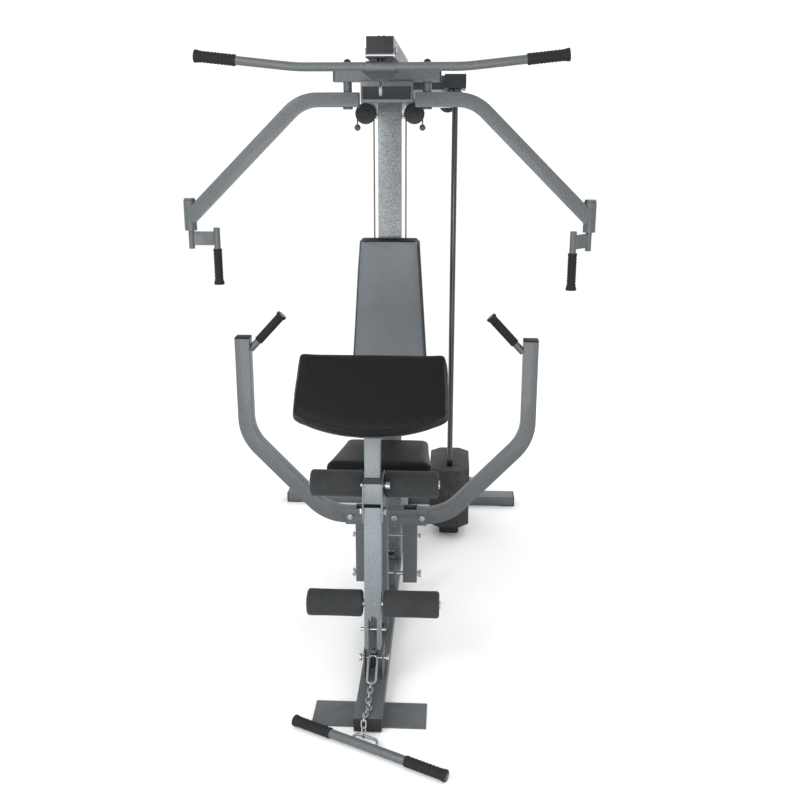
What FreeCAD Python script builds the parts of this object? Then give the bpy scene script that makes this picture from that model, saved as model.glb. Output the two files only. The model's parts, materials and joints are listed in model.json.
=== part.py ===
import FreeCAD, Part
import Sketcher
import math
import os
import re

# Multi station home gym. Millimetres, +Z up, +X to the machine's right as seen from the front.
# The floor is Z = 0. X = 0 is the centre line. Y = 0 is the front face of the upright, -Y is the front.

SIZES = {
    # floor frame
    "floor_gap": 4, "rail_width": 80, "rail_height": 40, "rail_wall": 2.5,
    "rail_front": 1040, "stabilizer_front": 668, "stabilizer_half": 516, "cap_thick": 5,
    "plate_half": 165, "plate_front": 1020, "plate_deep": 122, "foot_size": 60,
    # upright, boom and cross beam
    "upright_deep": 50, "boom_bottom": 1850, "boom_height": 60, "boom_front": 430, "boom_rear": 480,
    "slot_width": 24, "slot_length": 104, "window_height": 30,
    "tube_side": 50, "tube_wall": 2, "beam_front": 122, "beam_half": 172,
    "badge_half": 85, "badge_front": 142, "badge_bottom": 1735, "badge_rear": 82,
    # pec arms
    "pec_pivot_x": 131, "pec_pivot_y": 105, "pec_side": 46, "pec_top": 1767, "pec_inner": 93,
    "pec_knee_x": 285, "pec_radius": 136, "pec_slope": 44.2, "pec_bolt": 8, "spacer_radius": 14,
    "sleeve_x": 681, "sleeve_radius": 21, "sleeve_bottom": 1316, "sleeve_top": 1417,
    "knob_radius": 13, "knob_height": 22, "washer_radius": 16, "washer_thick": 7, "rest_gap": 0.3,
    # swivelling handles on the pec arms
    "swivel_radius": 10, "swivel_bottom": 1253, "handle_reach": 89, "handle_radius": 11,
    "handle_top": 1325, "handle_bottom": 1129, "strap_bottom": 1265, "strap_height": 47, "strap_thick": 8,
    "grip_radius": 15, "grip_flare": 18, "grip_length": 124,
    "left_turn": 0, "right_turn": 48,
    # press arms
    "press_front": 250, "post_x": 85, "post_bottom": 70, "press_level": 325, "press_start": 111,
    "press_low_x": 210, "press_out_x": 490, "press_knee_z": 620, "press_top": 965, "press_radius": 160,
    "press_grip_x": 465, "press_grip_z": 925, "press_grip_rise": 47, "press_handle_length": 165,
    "press_handle_radius": 12, "press_axle_z": 95, "press_axle": 8, "bracket_half": 145,
    "bracket_height": 57, "bracket_thick": 6, "bolt_radius": 5, "outer_bolt_x": 127, "inner_bolt_x": 29,
    "spreader_z": 245,
    # seat, backrest and their frame
    "seat_slope": 8, "seat_frame_end": 760, "seat_frame_top": 592, "seat_rear": 160, "seat_length": 430,
    "seat_front_half": 172, "seat_rear_half": 150, "board_thick": 15, "seat_thick": 60,
    "back_bottom": 650, "back_top": 1283, "back_low_half": 147, "back_top_half": 106,
    "back_board": 12, "back_thick": 50, "support_front": 560,
    # front post, curl pad and leg lever
    "pivot_y": 797, "pivot_z": 572, "front_plate_rear": 700, "front_plate_front": 826,
    "front_plate_bottom": 548, "receiver_bottom": 606, "receiver_top": 668, "front_plate_thick": 4,
    "curl_post_side": 45, "curl_post_bottom": 612, "curl_post_top": 975, "collar_height": 18,
    "collar_grow": 4, "pull_pin_z": 655, "pull_pin": 5,
    "curl_top_y": 780, "curl_top_z": 1050, "curl_slope": 50, "curl_top_half": 207, "curl_wide_half": 216,
    "curl_wide_at": 175, "curl_corner_at": 195, "curl_length": 246, "curl_thick": 55, "curl_board": 12,
    "lever_width": 49, "lever_deep": 50, "lever_above": 20, "lever_below": 422, "lever_tilt": 4.4,
    "lever_slot": 25, "lever_slot_height": 105, "lever_bolt_at": 368, "lever_pin": 8,
    "roller_radius": 40, "roller_bore": 12.3, "roller_tube": 12, "roller_inner": 31,
    "lower_roller_half": 197, "upper_roller_half": 190, "lower_roller_at": 285,
    "upper_roller_y": 736, "upper_roller_z": 637, "roller_cap": 4,
    # cables and pulleys
    "cable_radius": 2.5, "big_wheel": 38, "small_wheel": 35, "wheel_width": 20, "rope_depth": 6.5,
    "groove_clear": 0.3, "groove_flare": 3, "axle_radius": 6, "running_fit": 0.05, "boom_wheel_y": 382, "boom_wheel_z": 1872,
    "cable_down_y": 393, "top_wheel_z": 1750, "block_top_z": 1150, "block_low_z": 1050,
    "low_wheel_y": 800.5, "low_wheel_z": 94.5, "ear_gap": 26, "ear_thick": 4, "ball_radius": 11,
    "ball_z": 133, "butterfly_x": 84, "butterfly_y": 25, "butterfly_z": 1703, "butterfly_low_z": 1110,
    # weight stack
    "stack_x": 224, "stack_rail_front": 357, "plate_width": 164, "plate_length": 310, "plate_thick": 28,
    "plate_gap": 0.3, "plate_chamfer": 42, "rod_radius": 11, "rod_spread": 80, "rod_hole": 13,
    "stem_radius": 10, "stem_hole": 12, "bumper_height": 8, "bumper_radius": 22, "head_thick": 22,
    "selector_radius": 4.5, "selector_hole": 5.5, "stack_top_front": 335, "stack_top_rear": 570,
    "stack_top_height": 50, "rod_collar_radius": 25, "rod_collar_height": 16, "stem_rise": 30,
    # lat bar
    "lat_radius": 13, "lat_straight": 250, "lat_half": 555, "lat_drop": 36, "lat_rise": 32,
    "lat_bend": 600, "lat_sleeve_half": 43, "lat_stem_length": 14, "lat_ring_radius": 11, "lat_sleeve_radius": 16,
    # low bar lying in front of the base
    "bar_radius": 12.5, "bar_left_x": 212, "bar_left_y": 1019, "bar_right_x": 225, "bar_right_y": 1240,
    "loop_half": 38, "loop_shift": 20, "loop_height": 38, "wire_radius": 4, "link_length": 26, "link_width": 17,
    "link_wire": 2, "hook_wire": 3, "hook_width": 32, "hook_length": 96, "shackle_width": 26, "shackle_length": 34,
    "eye_slope": 32,
    # general clearances
    "soft_clear": 0.3, "joint_clear": 0.5,
}

BOOM_REAR_WHEEL_Y = "cable_down_y - big_wheel + rope_depth"
STACK_ROD_Y = "cable_down_y + 2 * (small_wheel - rope_depth)"
PRESS_BOLTS = ("-outer_bolt_x", "-inner_bolt_x", "inner_bolt_x", "outer_bolt_x")
LIFTED_PLATES = 3
RESTING_PLATES = 5
STACK_TOP = "floor_gap + rail_height + bumper_height + %d * (plate_thick + plate_gap)" % (
    LIFTED_PLATES + RESTING_PLATES)
LOCAL_AXES = {
    "X": FreeCAD.Rotation(FreeCAD.Vector(0, 1, 0), 90),
    "Y": FreeCAD.Rotation(FreeCAD.Vector(1, 0, 0), -90),
    "Z": FreeCAD.Rotation(),
}

doc = FreeCAD.newDocument("home_gym")
sheet = doc.addObject("Spreadsheet::Sheet", "dim")
for row, (alias, number) in enumerate(SIZES.items(), start=1):
    sheet.set("A%d" % row, alias)
    sheet.set("B%d" % row, str(number))
    sheet.setAlias("B%d" % row, alias)
doc.recompute()

nodes = []


# ---- helpers: every length is a formula over the spreadsheet's aliases ----

def formula(text):
    """Write a formula's plain aliases as references to the spreadsheet."""
    return re.sub(r"[a-z_]{3,}", lambda word: "dim." + word.group() if word.group() in SIZES else word.group(),
                  str(text))


def amount(text):
    return float(sheet.evalExpression(formula(text)))


def vector(x, y, z):
    return FreeCAD.Vector(amount(x), amount(y), amount(z))


def place(thing, spot, rotation=None):
    """Put a thing at a spot given by three formulas, with a fixed rotation."""
    thing.Placement = FreeCAD.Placement(vector(*spot), rotation or FreeCAD.Rotation())
    for axis, text in zip("xyz", spot):
        thing.setExpression(".Placement.Base." + axis, formula(text))
    return thing


def swing(thing, spot, axis, angle):
    """Put a thing at a spot and turn it about an axis by a formula in degrees."""
    place(thing, spot, FreeCAD.Rotation(FreeCAD.Vector(*axis), amount(angle) or 1e-9))
    thing.setExpression(".Placement.Rotation.Angle", formula(angle))
    return thing


def node(name, thing):
    """Register a finished sub-part under the name of its file."""
    thing.Label = name
    nodes.append(thing)
    return thing


def box(name, size, corner):
    block = doc.addObject("Part::Box", name)
    for prop, text in zip(("Length", "Width", "Height"), size):
        block.setExpression(prop, formula(text))
    return place(block, corner)


def cylinder(name, radius, length, foot, axis="Z"):
    rod = doc.addObject("Part::Cylinder", name)
    rod.setExpression("Radius", formula(radius))
    rod.setExpression("Height", formula(length))
    return place(rod, foot, LOCAL_AXES[axis])


def sphere(name, radius, centre):
    ball = doc.addObject("Part::Sphere", name)
    ball.setExpression("Radius", formula(radius))
    return place(ball, centre)


def cut(name, base, *tools):
    result = base
    for count, tool in enumerate(tools):
        piece = doc.addObject("Part::Cut", "%s_cut%d" % (name, count))
        piece.Base = result
        piece.Tool = tool
        result = piece
    return result


def fuse(name, *parts):
    joined = doc.addObject("Part::MultiFuse", name + "_fuse")
    joined.Shapes = list(parts)
    joined.Refine = True
    return joined


def group(name, *parts):
    """Several separate solids in one node."""
    bundle = doc.addObject("Part::Compound", name + "_group")
    bundle.Links = list(parts)
    return bundle


def tube(name, size, corner, axis, wall):
    """A rectangular tube: an outer box less an inner one that runs right through along its axis."""
    inner_size = []
    inner_corner = []
    for letter, length, start in zip("XYZ", size, corner):
        through = letter == axis
        inner_size.append(length if through else "%s - 2 * %s" % (length, wall))
        inner_corner.append(start if through else "%s + %s" % (start, wall))
    return cut(name, box(name + "_outer", size, corner), box(name + "_inner", inner_size, inner_corner))


def sketch_on(body, role, corners, name):
    """A closed outline on one of the body's own planes, each corner held by two driven distances."""
    plane = [feature for feature in body.Origin.OriginFeatures if feature.Role == role][0]
    sketch = body.newObject("Sketcher::SketchObject", name)
    sketch.AttachmentSupport = [(plane, "")]
    sketch.MapMode = "FlatFace"
    spots = [FreeCAD.Vector(amount(x), amount(y), 0) for x, y in corners]
    count = len(spots)
    for index, spot in enumerate(spots):
        sketch.addGeometry(Part.LineSegment(spot, spots[(index + 1) % count]), False)
    for index in range(count):
        sketch.addConstraint(Sketcher.Constraint("Coincident", index, 2, (index + 1) % count, 1))
    for index, (spot, texts) in enumerate(zip(spots, corners)):
        for kind, value, text in (("DistanceX", spot.x, texts[0]), ("DistanceY", spot.y, texts[1])):
            number = sketch.addConstraint(Sketcher.Constraint(kind, -1, 1, index, 1, value))
            sketch.setExpression("Constraints[%d]" % number, formula(text))
    return sketch


def padded(name, role, corners, thick):
    """A plate: an outline padded along its plane's normal."""
    body = doc.addObject("PartDesign::Body", name)
    pad = body.newObject("PartDesign::Pad", name + "_pad")
    pad.Profile = sketch_on(body, role, corners, name + "_outline")
    pad.setExpression("Length", formula(thick))
    body.Tip = pad
    return body


def revolved(name, profile):
    """A turned piece about its own Z: the profile's corners are (radius, height)."""
    body = doc.addObject("PartDesign::Body", name)
    turn = body.newObject("PartDesign::Revolution", name + "_turn")
    sketch = sketch_on(body, "XZ_Plane", profile, name + "_profile")
    turn.Profile = sketch
    turn.ReferenceAxis = (sketch, ["V_Axis"])
    turn.Angle = 360
    body.Tip = turn
    return body


def bent_path(corners, radii):
    """Straight runs joined by tangent arcs; radii has one value for each inner corner."""
    edges = []
    start = corners[0]
    for before, corner, after, radius in zip(corners, corners[1:], corners[2:], radii):
        back = (before - corner).normalize()
        ahead = (after - corner).normalize()
        turn = math.pi - back.getAngle(ahead)
        reach = radius * math.tan(turn / 2)
        leave = corner + back * reach
        rejoin = corner + ahead * reach
        middle_line = (back + ahead).normalize()
        middle = corner + middle_line * (radius / math.cos(turn / 2) - radius)
        if (leave - start).Length > 1e-6:
            edges.append(Part.LineSegment(start, leave).toShape())
        edges.append(Part.Arc(leave, middle, rejoin).toShape())
        start = rejoin
    if (corners[-1] - start).Length > 1e-6:
        edges.append(Part.LineSegment(start, corners[-1]).toShape())
    return Part.Wire(edges)


def sweep(path, profile):
    return path.makePipeShell([profile], True, False)


def round_profile(path, radius):
    first = path.OrderedEdges[0]
    heading = first.tangentAt(first.FirstParameter)
    return Part.Wire(Part.makeCircle(radius, first.valueAt(first.FirstParameter), heading))


def square_profile(start, side, out):
    """A square about the start of a path that sets off along X; out is the plane's normal, Y."""
    half = side / 2
    up = FreeCAD.Vector(0, 0, 1)
    signs = ((-1, -1), (1, -1), (1, 1), (-1, 1), (-1, -1))
    return Part.makePolygon([start + out * (half * a) + up * (half * b) for a, b in signs])


def shaped(name, shape):
    feature = doc.addObject("Part::Feature", name)
    feature.Shape = shape
    return feature


def round_bar(name, corners, radii, radius):
    path = bent_path(corners, radii)
    return shaped(name, sweep(path, round_profile(path, radius)))


def square_bar(name, corners, radii, side, wall):
    path = bent_path(corners, radii)
    out = FreeCAD.Vector(0, 1, 0)
    outer = sweep(path, square_profile(corners[0], side, out))
    inner = sweep(path, square_profile(corners[0], side - 2 * wall, out))
    return shaped(name, outer.cut(inner))


def side_name(side):
    return "left" if side < 0 else "right"


# ---- floor frame ----

def build_floor_frame():
    node("base_rail", tube(
        "base_rail", ("rail_width", "rail_front + stabilizer_front", "rail_height"),
        ("-rail_width / 2", "-rail_front", "floor_gap"), "Y", "rail_wall"))
    node("foot_plate", box(
        "foot_plate", ("2 * plate_half", "plate_deep", "floor_gap"), ("-plate_half", "-plate_front", 0)))
    stabilizer = tube("stabilizer", ("2 * stabilizer_half", "rail_width", "rail_height"),
                      ("-stabilizer_half", "stabilizer_front", "floor_gap"), "X", "rail_wall")
    stack_rail = tube("stack_rail", ("rail_width", "stabilizer_front - stack_rail_front", "rail_height"),
                      ("stack_x - rail_width / 2", "stack_rail_front", "floor_gap"), "Y", "rail_wall")
    node("rear_frame", fuse("rear_frame", stabilizer, stack_rail))


def build_floor_caps():
    """Black plastic ends and feet: everything here but the rail's front end stands on the floor."""
    rail_end = box("rail_end", ("rail_width", "cap_thick", "rail_height"),
                   ("-rail_width / 2", "-rail_front - cap_thick", "floor_gap"))
    stack_end = box("stack_end", ("rail_width", "cap_thick", "rail_height"),
                    ("stack_x - rail_width / 2", "stack_rail_front - cap_thick", "floor_gap"))
    middle_foot = box("middle_foot", ("foot_size", "foot_size", "floor_gap"),
                      ("-foot_size / 2", "-foot_size / 2", 0))
    stack_foot = box("stack_foot", ("foot_size", "foot_size", "floor_gap"),
                     ("stack_x - foot_size / 2", "stack_rail_front", 0))
    caps = [rail_end, stack_end, middle_foot, stack_foot]
    for side in (-1, 1):
        label = "stabilizer_cap_" + side_name(side)
        end = "stabilizer_half" if side > 0 else "-stabilizer_half - cap_thick"
        foot = "stabilizer_half - foot_size" if side > 0 else "-stabilizer_half - cap_thick"
        cover = box(label + "_cover", ("cap_thick", "rail_width", "rail_height"),
                    (end, "stabilizer_front", "floor_gap"))
        pad = box(label + "_foot", ("foot_size + cap_thick", "rail_width", "floor_gap"),
                  (foot, "stabilizer_front", 0))
        caps.append(fuse(label, cover, pad))
    node("floor_caps", group("floor_caps", *caps))


# ---- upright, boom and cross beam ----

def build_top_frame():
    upright = tube("upright_tube", ("rail_width", "upright_deep", "boom_bottom - floor_gap - rail_height"),
                   ("-rail_width / 2", 0, "floor_gap + rail_height"), "Z", "rail_wall")
    window = box("upright_window", ("slot_width", "2 * upright_deep", "window_height"),
                 ("-slot_width / 2", "-upright_deep / 2",
                  "low_wheel_z - small_wheel + rope_depth - window_height / 2"))
    node("upright", cut("upright_open", upright, window))

    boom = tube("boom", ("rail_width", "boom_front + boom_rear", "boom_height"),
                ("-rail_width / 2", "-boom_front", "boom_bottom"), "Y", "rail_wall")
    slots = []
    for name, middle in (("front", "-boom_wheel_y"), ("rear", BOOM_REAR_WHEEL_Y)):
        slots.append(box("boom_slot_" + name, ("slot_width", "slot_length", "2 * boom_height"),
                         ("-slot_width / 2", middle + " - slot_length / 2", "boom_bottom - boom_height / 2")))
        slots.append(cylinder("boom_hole_" + name, "axle_radius", "2 * rail_width",
                              ("-rail_width", middle, "boom_wheel_z"), "X"))
    node("top_boom", cut("boom_open", boom, *slots))

    beam = tube("beam", ("2 * beam_half", "tube_side", "tube_side"),
                ("-beam_half", "-beam_front", "boom_bottom - tube_side"), "X", "tube_wall")
    badge = tube("badge", ("2 * badge_half", "badge_front - badge_rear", "boom_bottom - tube_side - badge_bottom"),
                 ("-badge_half", "-badge_front", "badge_bottom"), "X", "tube_wall")
    holes = [cylinder("beam_hole_" + side_name(side), "pec_bolt", "2 * tube_side",
                      ("%d * pec_pivot_x" % side, "-pec_pivot_y", "boom_bottom - 1.5 * tube_side"))
             for side in (-1, 1)]
    node("cross_beam", cut("beam_open", fuse("beam_and_badge", beam, badge), *holes))


def build_frame_caps():
    """Black plastic plugs in the open tube ends high on the frame, and the curl post's collar."""
    caps = []
    for name, start in (("front", "-boom_front - cap_thick"), ("rear", "boom_rear")):
        caps.append(box("boom_cap_" + name, ("rail_width", "cap_thick", "boom_height"),
                        ("-rail_width / 2", start, "boom_bottom")))
    for side in (-1, 1):
        start = "beam_half" if side > 0 else "-beam_half - cap_thick"
        caps.append(box("beam_cap_" + side_name(side), ("cap_thick", "tube_side", "tube_side"),
                        (start, "-beam_front", "boom_bottom - tube_side")))
    for name, start in (("front", "stack_top_front - cap_thick"), ("rear", "stack_top_rear")):
        caps.append(box("stack_cap_" + name, ("rail_width", "cap_thick", "stack_top_height"),
                        ("stack_x - rail_width / 2", start, "boom_bottom - stack_top_height")))
    outer = "tube_side + collar_grow"
    inner = "curl_post_side + 2 * rest_gap"
    collar = box("collar_outer", (outer, outer, "collar_height"),
                 ("-(tube_side + collar_grow) / 2", "-pivot_y - (tube_side + collar_grow) / 2", "receiver_top"))
    opening = box("collar_inner", (inner, inner, "collar_height"),
                  ("-(curl_post_side + 2 * rest_gap) / 2", "-pivot_y - (curl_post_side + 2 * rest_gap) / 2",
                   "receiver_top"))
    caps.append(cut("collar", collar, opening))
    node("frame_caps", group("frame_caps", *caps))


def build_pec_pins():
    """Each pec arm turns on a bolt with a domed head above the beam and a washer under the arm."""
    washer_base = "pec_top - pec_side - rest_gap - washer_thick"
    washer_top = "pec_top - pec_side - rest_gap"
    profile = (
        (0, washer_base), ("washer_radius", washer_base), ("washer_radius", washer_top),
        ("pec_bolt", washer_top), ("pec_bolt", "boom_bottom"), ("knob_radius", "boom_bottom"),
        ("knob_radius", "boom_bottom + knob_height / 2"), ("knob_radius * 0.7", "boom_bottom + knob_height * 0.85"),
        (0, "boom_bottom + knob_height"))
    pieces = []
    for side in (-1, 1):
        spot = ("%d * pec_pivot_x" % side, "-pec_pivot_y", 0)
        pieces.append(place(revolved("pec_pin_" + side_name(side), profile), spot))
        foot = (spot[0], spot[1], "pec_top + rest_gap")
        height = "boom_bottom - tube_side - pec_top - rest_gap"
        outer = cylinder("spacer_outer_" + side_name(side), "spacer_radius", height, foot)
        inner = cylinder("spacer_inner_" + side_name(side), "pec_bolt", height, foot)
        pieces.append(cut("spacer_" + side_name(side), outer, inner))
    node("pec_pivot_pins", group("pec_pivot_pins", *pieces))


# ---- pec arms and their swivelling handles ----

def grip_profile(bore, radius, flare, length):
    """A ribbed rubber grip with a flared end, about its own Z."""
    return ((bore, 0), (radius, 0), (radius, "%s * 0.9" % length), (flare, "%s * 0.94" % length),
            (flare, length), (bore, length))


def build_pec_arm(side):
    label = side_name(side)
    level = amount("pec_top - pec_side / 2")
    slope = math.radians(amount("pec_slope"))
    knee_x = amount("pec_knee_x")
    sleeve_x = amount("sleeve_x")
    y = -amount("pec_pivot_y")
    corners = [
        FreeCAD.Vector(side * amount("pec_inner"), y, level),
        FreeCAD.Vector(side * knee_x, y, level),
        FreeCAD.Vector(side * sleeve_x, y, level - (sleeve_x - knee_x) * math.tan(slope))]
    bar = square_bar("pec_bar_" + label, corners, [amount("pec_radius")], amount("pec_side"), amount("tube_wall"))
    spot = ("%d * sleeve_x" % side, "-pec_pivot_y", "sleeve_bottom")
    sleeve = cylinder("sleeve_" + label, "sleeve_radius", "sleeve_top - sleeve_bottom", spot)
    bore = cylinder("sleeve_bore_" + label, "swivel_radius + running_fit", "sleeve_top - sleeve_bottom", spot)
    hole = cylinder("pec_hole_" + label, "pec_bolt + running_fit", "2 * pec_side",
                    ("%d * pec_pivot_x" % side, "-pec_pivot_y", "pec_top - 1.5 * pec_side"))
    node("pec_arm_" + label, cut("pec_arm_" + label, fuse("pec_arm_" + label, bar, sleeve), bore, hole))


def build_handle(side):
    """A rod in the arm's sleeve, a flat strap below it and an upright rod with a rubber grip."""
    label = side_name(side)
    turn = "-%s_turn" % label if side < 0 else "%s_turn" % label
    spot = ("%d * sleeve_x" % side, "-pec_pivot_y", 0)
    pivot = cylinder("swivel_" + label, "swivel_radius", "sleeve_top + washer_thick - swivel_bottom",
                     (0, 0, "swivel_bottom"))
    head = cylinder("swivel_head_" + label, "sleeve_radius * 0.9", "washer_thick",
                    (0, 0, "sleeve_top + rest_gap"))
    reach = "%d * handle_reach" % -side
    strap_start = "-handle_reach" if side > 0 else "0"
    strap = box("strap_" + label, ("handle_reach", "strap_thick", "strap_height"),
                (strap_start, "-strap_thick / 2", "strap_bottom"))
    rod = cylinder("handle_rod_" + label, "handle_radius", "handle_top - handle_bottom",
                   (reach, 0, "handle_bottom"))
    handle = fuse("handle_" + label, pivot, head, strap, rod)
    node("handle_" + label, swing(handle, spot, (0, 0, 1), turn))

    grip = revolved("grip_" + label, grip_profile("handle_radius", "grip_radius", "grip_flare", "grip_length"))
    angle = math.radians(amount(turn))
    reach_length = -side * amount("handle_reach")
    grip.Placement = FreeCAD.Placement(
        FreeCAD.Vector(side * amount("sleeve_x") + reach_length * math.cos(angle),
                       -amount("pec_pivot_y") + reach_length * math.sin(angle),
                       amount("handle_bottom + grip_length")),
        FreeCAD.Rotation(FreeCAD.Vector(1, 0, 0), 180))
    node("pec_grip_" + label, grip)


# ---- press arms ----

def build_press_frame():
    middle_y = "-press_front + tube_side / 2"
    parts = []
    for side in (-1, 1):
        label = side_name(side)
        parts.append(tube("post_" + label, ("tube_side", "tube_side",
                                            "press_level + bracket_height / 2 - post_bottom"),
                          ("%d * post_x - tube_side / 2" % side, "-press_front", "post_bottom"), "Z", "tube_wall"))
    parts.append(tube("post_tie", ("2 * post_x - tube_side", "tube_side", "tube_side"),
                      ("-post_x + tube_side / 2", "-press_front", "press_level - tube_side / 2"), "X", "tube_wall"))
    parts.append(box("press_plate", ("2 * bracket_half", "bracket_thick", "bracket_height"),
                     ("-bracket_half", "-press_front - bracket_thick", "press_level - bracket_height / 2")))
    holes = [cylinder("press_axle_hole", "press_axle + running_fit", "4 * post_x",
                      ("-2 * post_x", middle_y, "press_axle_z"), "X"),
             cylinder("spreader_hole", "bolt_radius", "4 * post_x", ("-2 * post_x", middle_y, "spreader_z"), "X")]
    holes += [cylinder("press_bolt_hole_%d" % index, "bolt_radius", "2 * tube_side",
                       (x, "-press_front - tube_side", "press_level"), "Y")
              for index, x in enumerate(PRESS_BOLTS)]
    node("press_frame", cut("press_frame", fuse("press_frame", *parts), *holes))


def build_press_arm(side):
    label = side_name(side)
    y = amount("-press_front + tube_side / 2")
    level = amount("press_level")
    corners = [FreeCAD.Vector(side * amount(x), y, z) for x, z in (
        ("press_start", level), ("press_low_x", level), ("press_out_x", amount("press_knee_z")),
        ("press_out_x", amount("press_top")))]
    radius = amount("press_radius")
    bar = square_bar("press_bar_" + label, corners, [radius, radius], amount("tube_side"), amount("tube_wall"))
    rise = math.radians(amount("press_grip_rise"))
    heading = FreeCAD.Vector(-side * math.cos(rise), 0, math.sin(rise))
    root = FreeCAD.Vector(side * amount("press_grip_x"), y, amount("press_grip_z"))
    length = amount("press_handle_length")
    stub = shaped("press_handle_" + label,
                  Part.makeCylinder(amount("press_handle_radius"), length, root, heading))
    hole = cylinder("press_arm_hole_" + label, "bolt_radius", "2 * tube_side",
                    ("%d * outer_bolt_x" % side, "-press_front - tube_side", "press_level"), "Y")
    node("press_arm_" + label, cut("press_arm_" + label, fuse("press_arm_" + label, bar, stub), hole))

    grip = revolved("press_grip_" + label, grip_profile("press_handle_radius", "grip_radius", "grip_flare",
                                                        "grip_length"))
    turned = FreeCAD.Rotation(FreeCAD.Vector(0, 0, 1), heading)
    grip.Placement = FreeCAD.Placement(root + heading * (length - amount("grip_length")), turned)
    cap = box("press_cap_" + label, ("tube_side", "tube_side", "cap_thick"),
              ("%d * press_out_x - tube_side / 2" % side, "-press_front", "press_top"))
    return grip, cap


def build_press_fittings(grips, caps):
    node("press_grips", group("press_grips", *(grips + caps)))
    middle_y = "-press_front + tube_side / 2"
    bolts = [cylinder("spreader_bolt", "bolt_radius", "2 * post_x + tube_side + 4 * washer_thick",
                      ("-post_x - tube_side / 2 - 2 * washer_thick", middle_y, "spreader_z"), "X")]
    for index, x in enumerate(PRESS_BOLTS):
        shank = cylinder("press_shank_%d" % index, "bolt_radius", "tube_side + bracket_thick",
                         (x, "-press_front - bracket_thick", "press_level"), "Y")
        head = cylinder("press_head_%d" % index, "2 * bolt_radius", "bolt_radius",
                        (x, "-press_front - bracket_thick - bolt_radius", "press_level"), "Y")
        bolts.append(fuse("press_bolt_%d" % index, shank, head))
    node("press_bolts", group("press_bolts", *bolts))


# ---- seat, backrest and the frame that carries them ----

def build_seat_frame():
    """A tube that rises to the front at the seat's slope, with a post under it on the base rail."""
    rise = "tan(seat_slope)"
    skin = "tube_side / cos(seat_slope)"
    front_top = "seat_frame_top"
    rear_top = "seat_frame_top - seat_frame_end * " + rise
    outer = padded("seat_frame_outer", "YZ_Plane", (
        (0, rear_top), (0, "%s - %s" % (rear_top, skin)),
        ("-seat_frame_end", "%s - %s" % (front_top, skin)), ("-seat_frame_end", front_top)), "tube_side")
    place(outer, ("-tube_side / 2", 0, 0))
    inner = padded("seat_frame_inner", "YZ_Plane", (
        (0, rear_top + " - tube_wall"), (0, "%s - %s + tube_wall" % (rear_top, skin)),
        ("-seat_frame_end", "%s - %s + tube_wall" % (front_top, skin)),
        ("-seat_frame_end", front_top + " - tube_wall")), "tube_side - 2 * tube_wall")
    place(inner, ("-tube_side / 2 + tube_wall", 0, 0))
    under = "seat_frame_top - %s - (seat_frame_end - (%s)) * " + rise
    near = "support_front"
    far = "support_front - tube_side"
    post = padded("seat_support_outer", "YZ_Plane", (
        ("-" + near, "floor_gap + rail_height"), ("-(%s)" % far, "floor_gap + rail_height"),
        ("-(%s)" % far, under % (skin, far)), ("-" + near, under % (skin, near))), "tube_side")
    place(post, ("-tube_side / 2", 0, 0))
    hollow = box("seat_support_inner", ("tube_side - 2 * tube_wall", "tube_side - 2 * tube_wall",
                                        "seat_frame_top - tube_side * 2 - floor_gap - rail_height"),
                 ("-tube_side / 2 + tube_wall", "-support_front + tube_wall", "floor_gap + rail_height"))
    window = box("seat_support_window", ("slot_width", "2 * tube_side", "window_height"),
                 ("-slot_width / 2", "-support_front - tube_side / 2",
                  "low_wheel_z - small_wheel + rope_depth - window_height / 2"))
    frame = fuse("seat_frame", cut("seat_tube", outer, inner), cut("seat_post", post, hollow, window))
    node("seat_frame", frame)


def build_pads():
    slope_spot = ("0", "-seat_rear", "seat_frame_top - (seat_frame_end - seat_rear) * tan(seat_slope)")
    outline = (("-seat_rear_half", 0), ("-seat_front_half", "-seat_length"),
               ("seat_front_half", "-seat_length"), ("seat_rear_half", 0))
    seat_board = swing(padded("seat_board", "XY_Plane", outline, "board_thick"), slope_spot,
                       (1, 0, 0), "-seat_slope")
    base = padded("seat_cushion", "XY_Plane", outline, "seat_thick")
    lifted = (slope_spot[0], "-seat_rear + board_thick * sin(seat_slope)",
              slope_spot[2] + " + board_thick * cos(seat_slope)")
    node("seat_pad", swing(base, lifted, (1, 0, 0), "-seat_slope"))
    corner = "back_board"
    back_outline = (("-back_low_half", "back_bottom"), ("back_low_half", "back_bottom"),
                    ("back_top_half", "back_top - " + corner), ("back_top_half - " + corner, "back_top"),
                    ("-back_top_half + " + corner, "back_top"), ("-back_top_half", "back_top - " + corner))
    back_board = padded("back_board", "XZ_Plane", back_outline, "back_board")
    node("pad_boards", group("pad_boards", seat_board, back_board))
    back_pad = padded("back_cushion", "XZ_Plane", back_outline, "back_thick")
    node("backrest_pad", place(back_pad, (0, "-back_board", 0)))


# ---- front post, curl pad, leg lever and rollers ----

def build_front_post():
    """A square receiver between two side plates that clasp the seat frame's front end."""
    receiver = tube("receiver", ("tube_side", "tube_side", "receiver_top - receiver_bottom"),
                    ("-tube_side / 2", "-pivot_y - tube_side / 2", "receiver_bottom"), "Z", "tube_wall")
    plates = [box("front_plate_" + side_name(side),
                  ("front_plate_thick", "front_plate_front - front_plate_rear", "receiver_top - front_plate_bottom"),
                  ("tube_side / 2" if side > 0 else "-tube_side / 2 - front_plate_thick",
                   "-front_plate_front", "front_plate_bottom")) for side in (-1, 1)]
    holes = [
        cylinder("pin_hole", "pull_pin + running_fit", "2 * rail_width", ("-rail_width", "-pivot_y", "pull_pin_z"), "X"),
        cylinder("pivot_hole", "lever_pin", "2 * rail_width", ("-rail_width", "-pivot_y", "pivot_z"), "X"),
        cylinder("upper_roller_hole", "roller_tube", "2 * rail_width",
                 ("-rail_width", "-upper_roller_y", "upper_roller_z"), "X")]
    solid = fuse("front_post", receiver, *plates)
    node("front_post", cut("front_post", solid, *holes))


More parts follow.
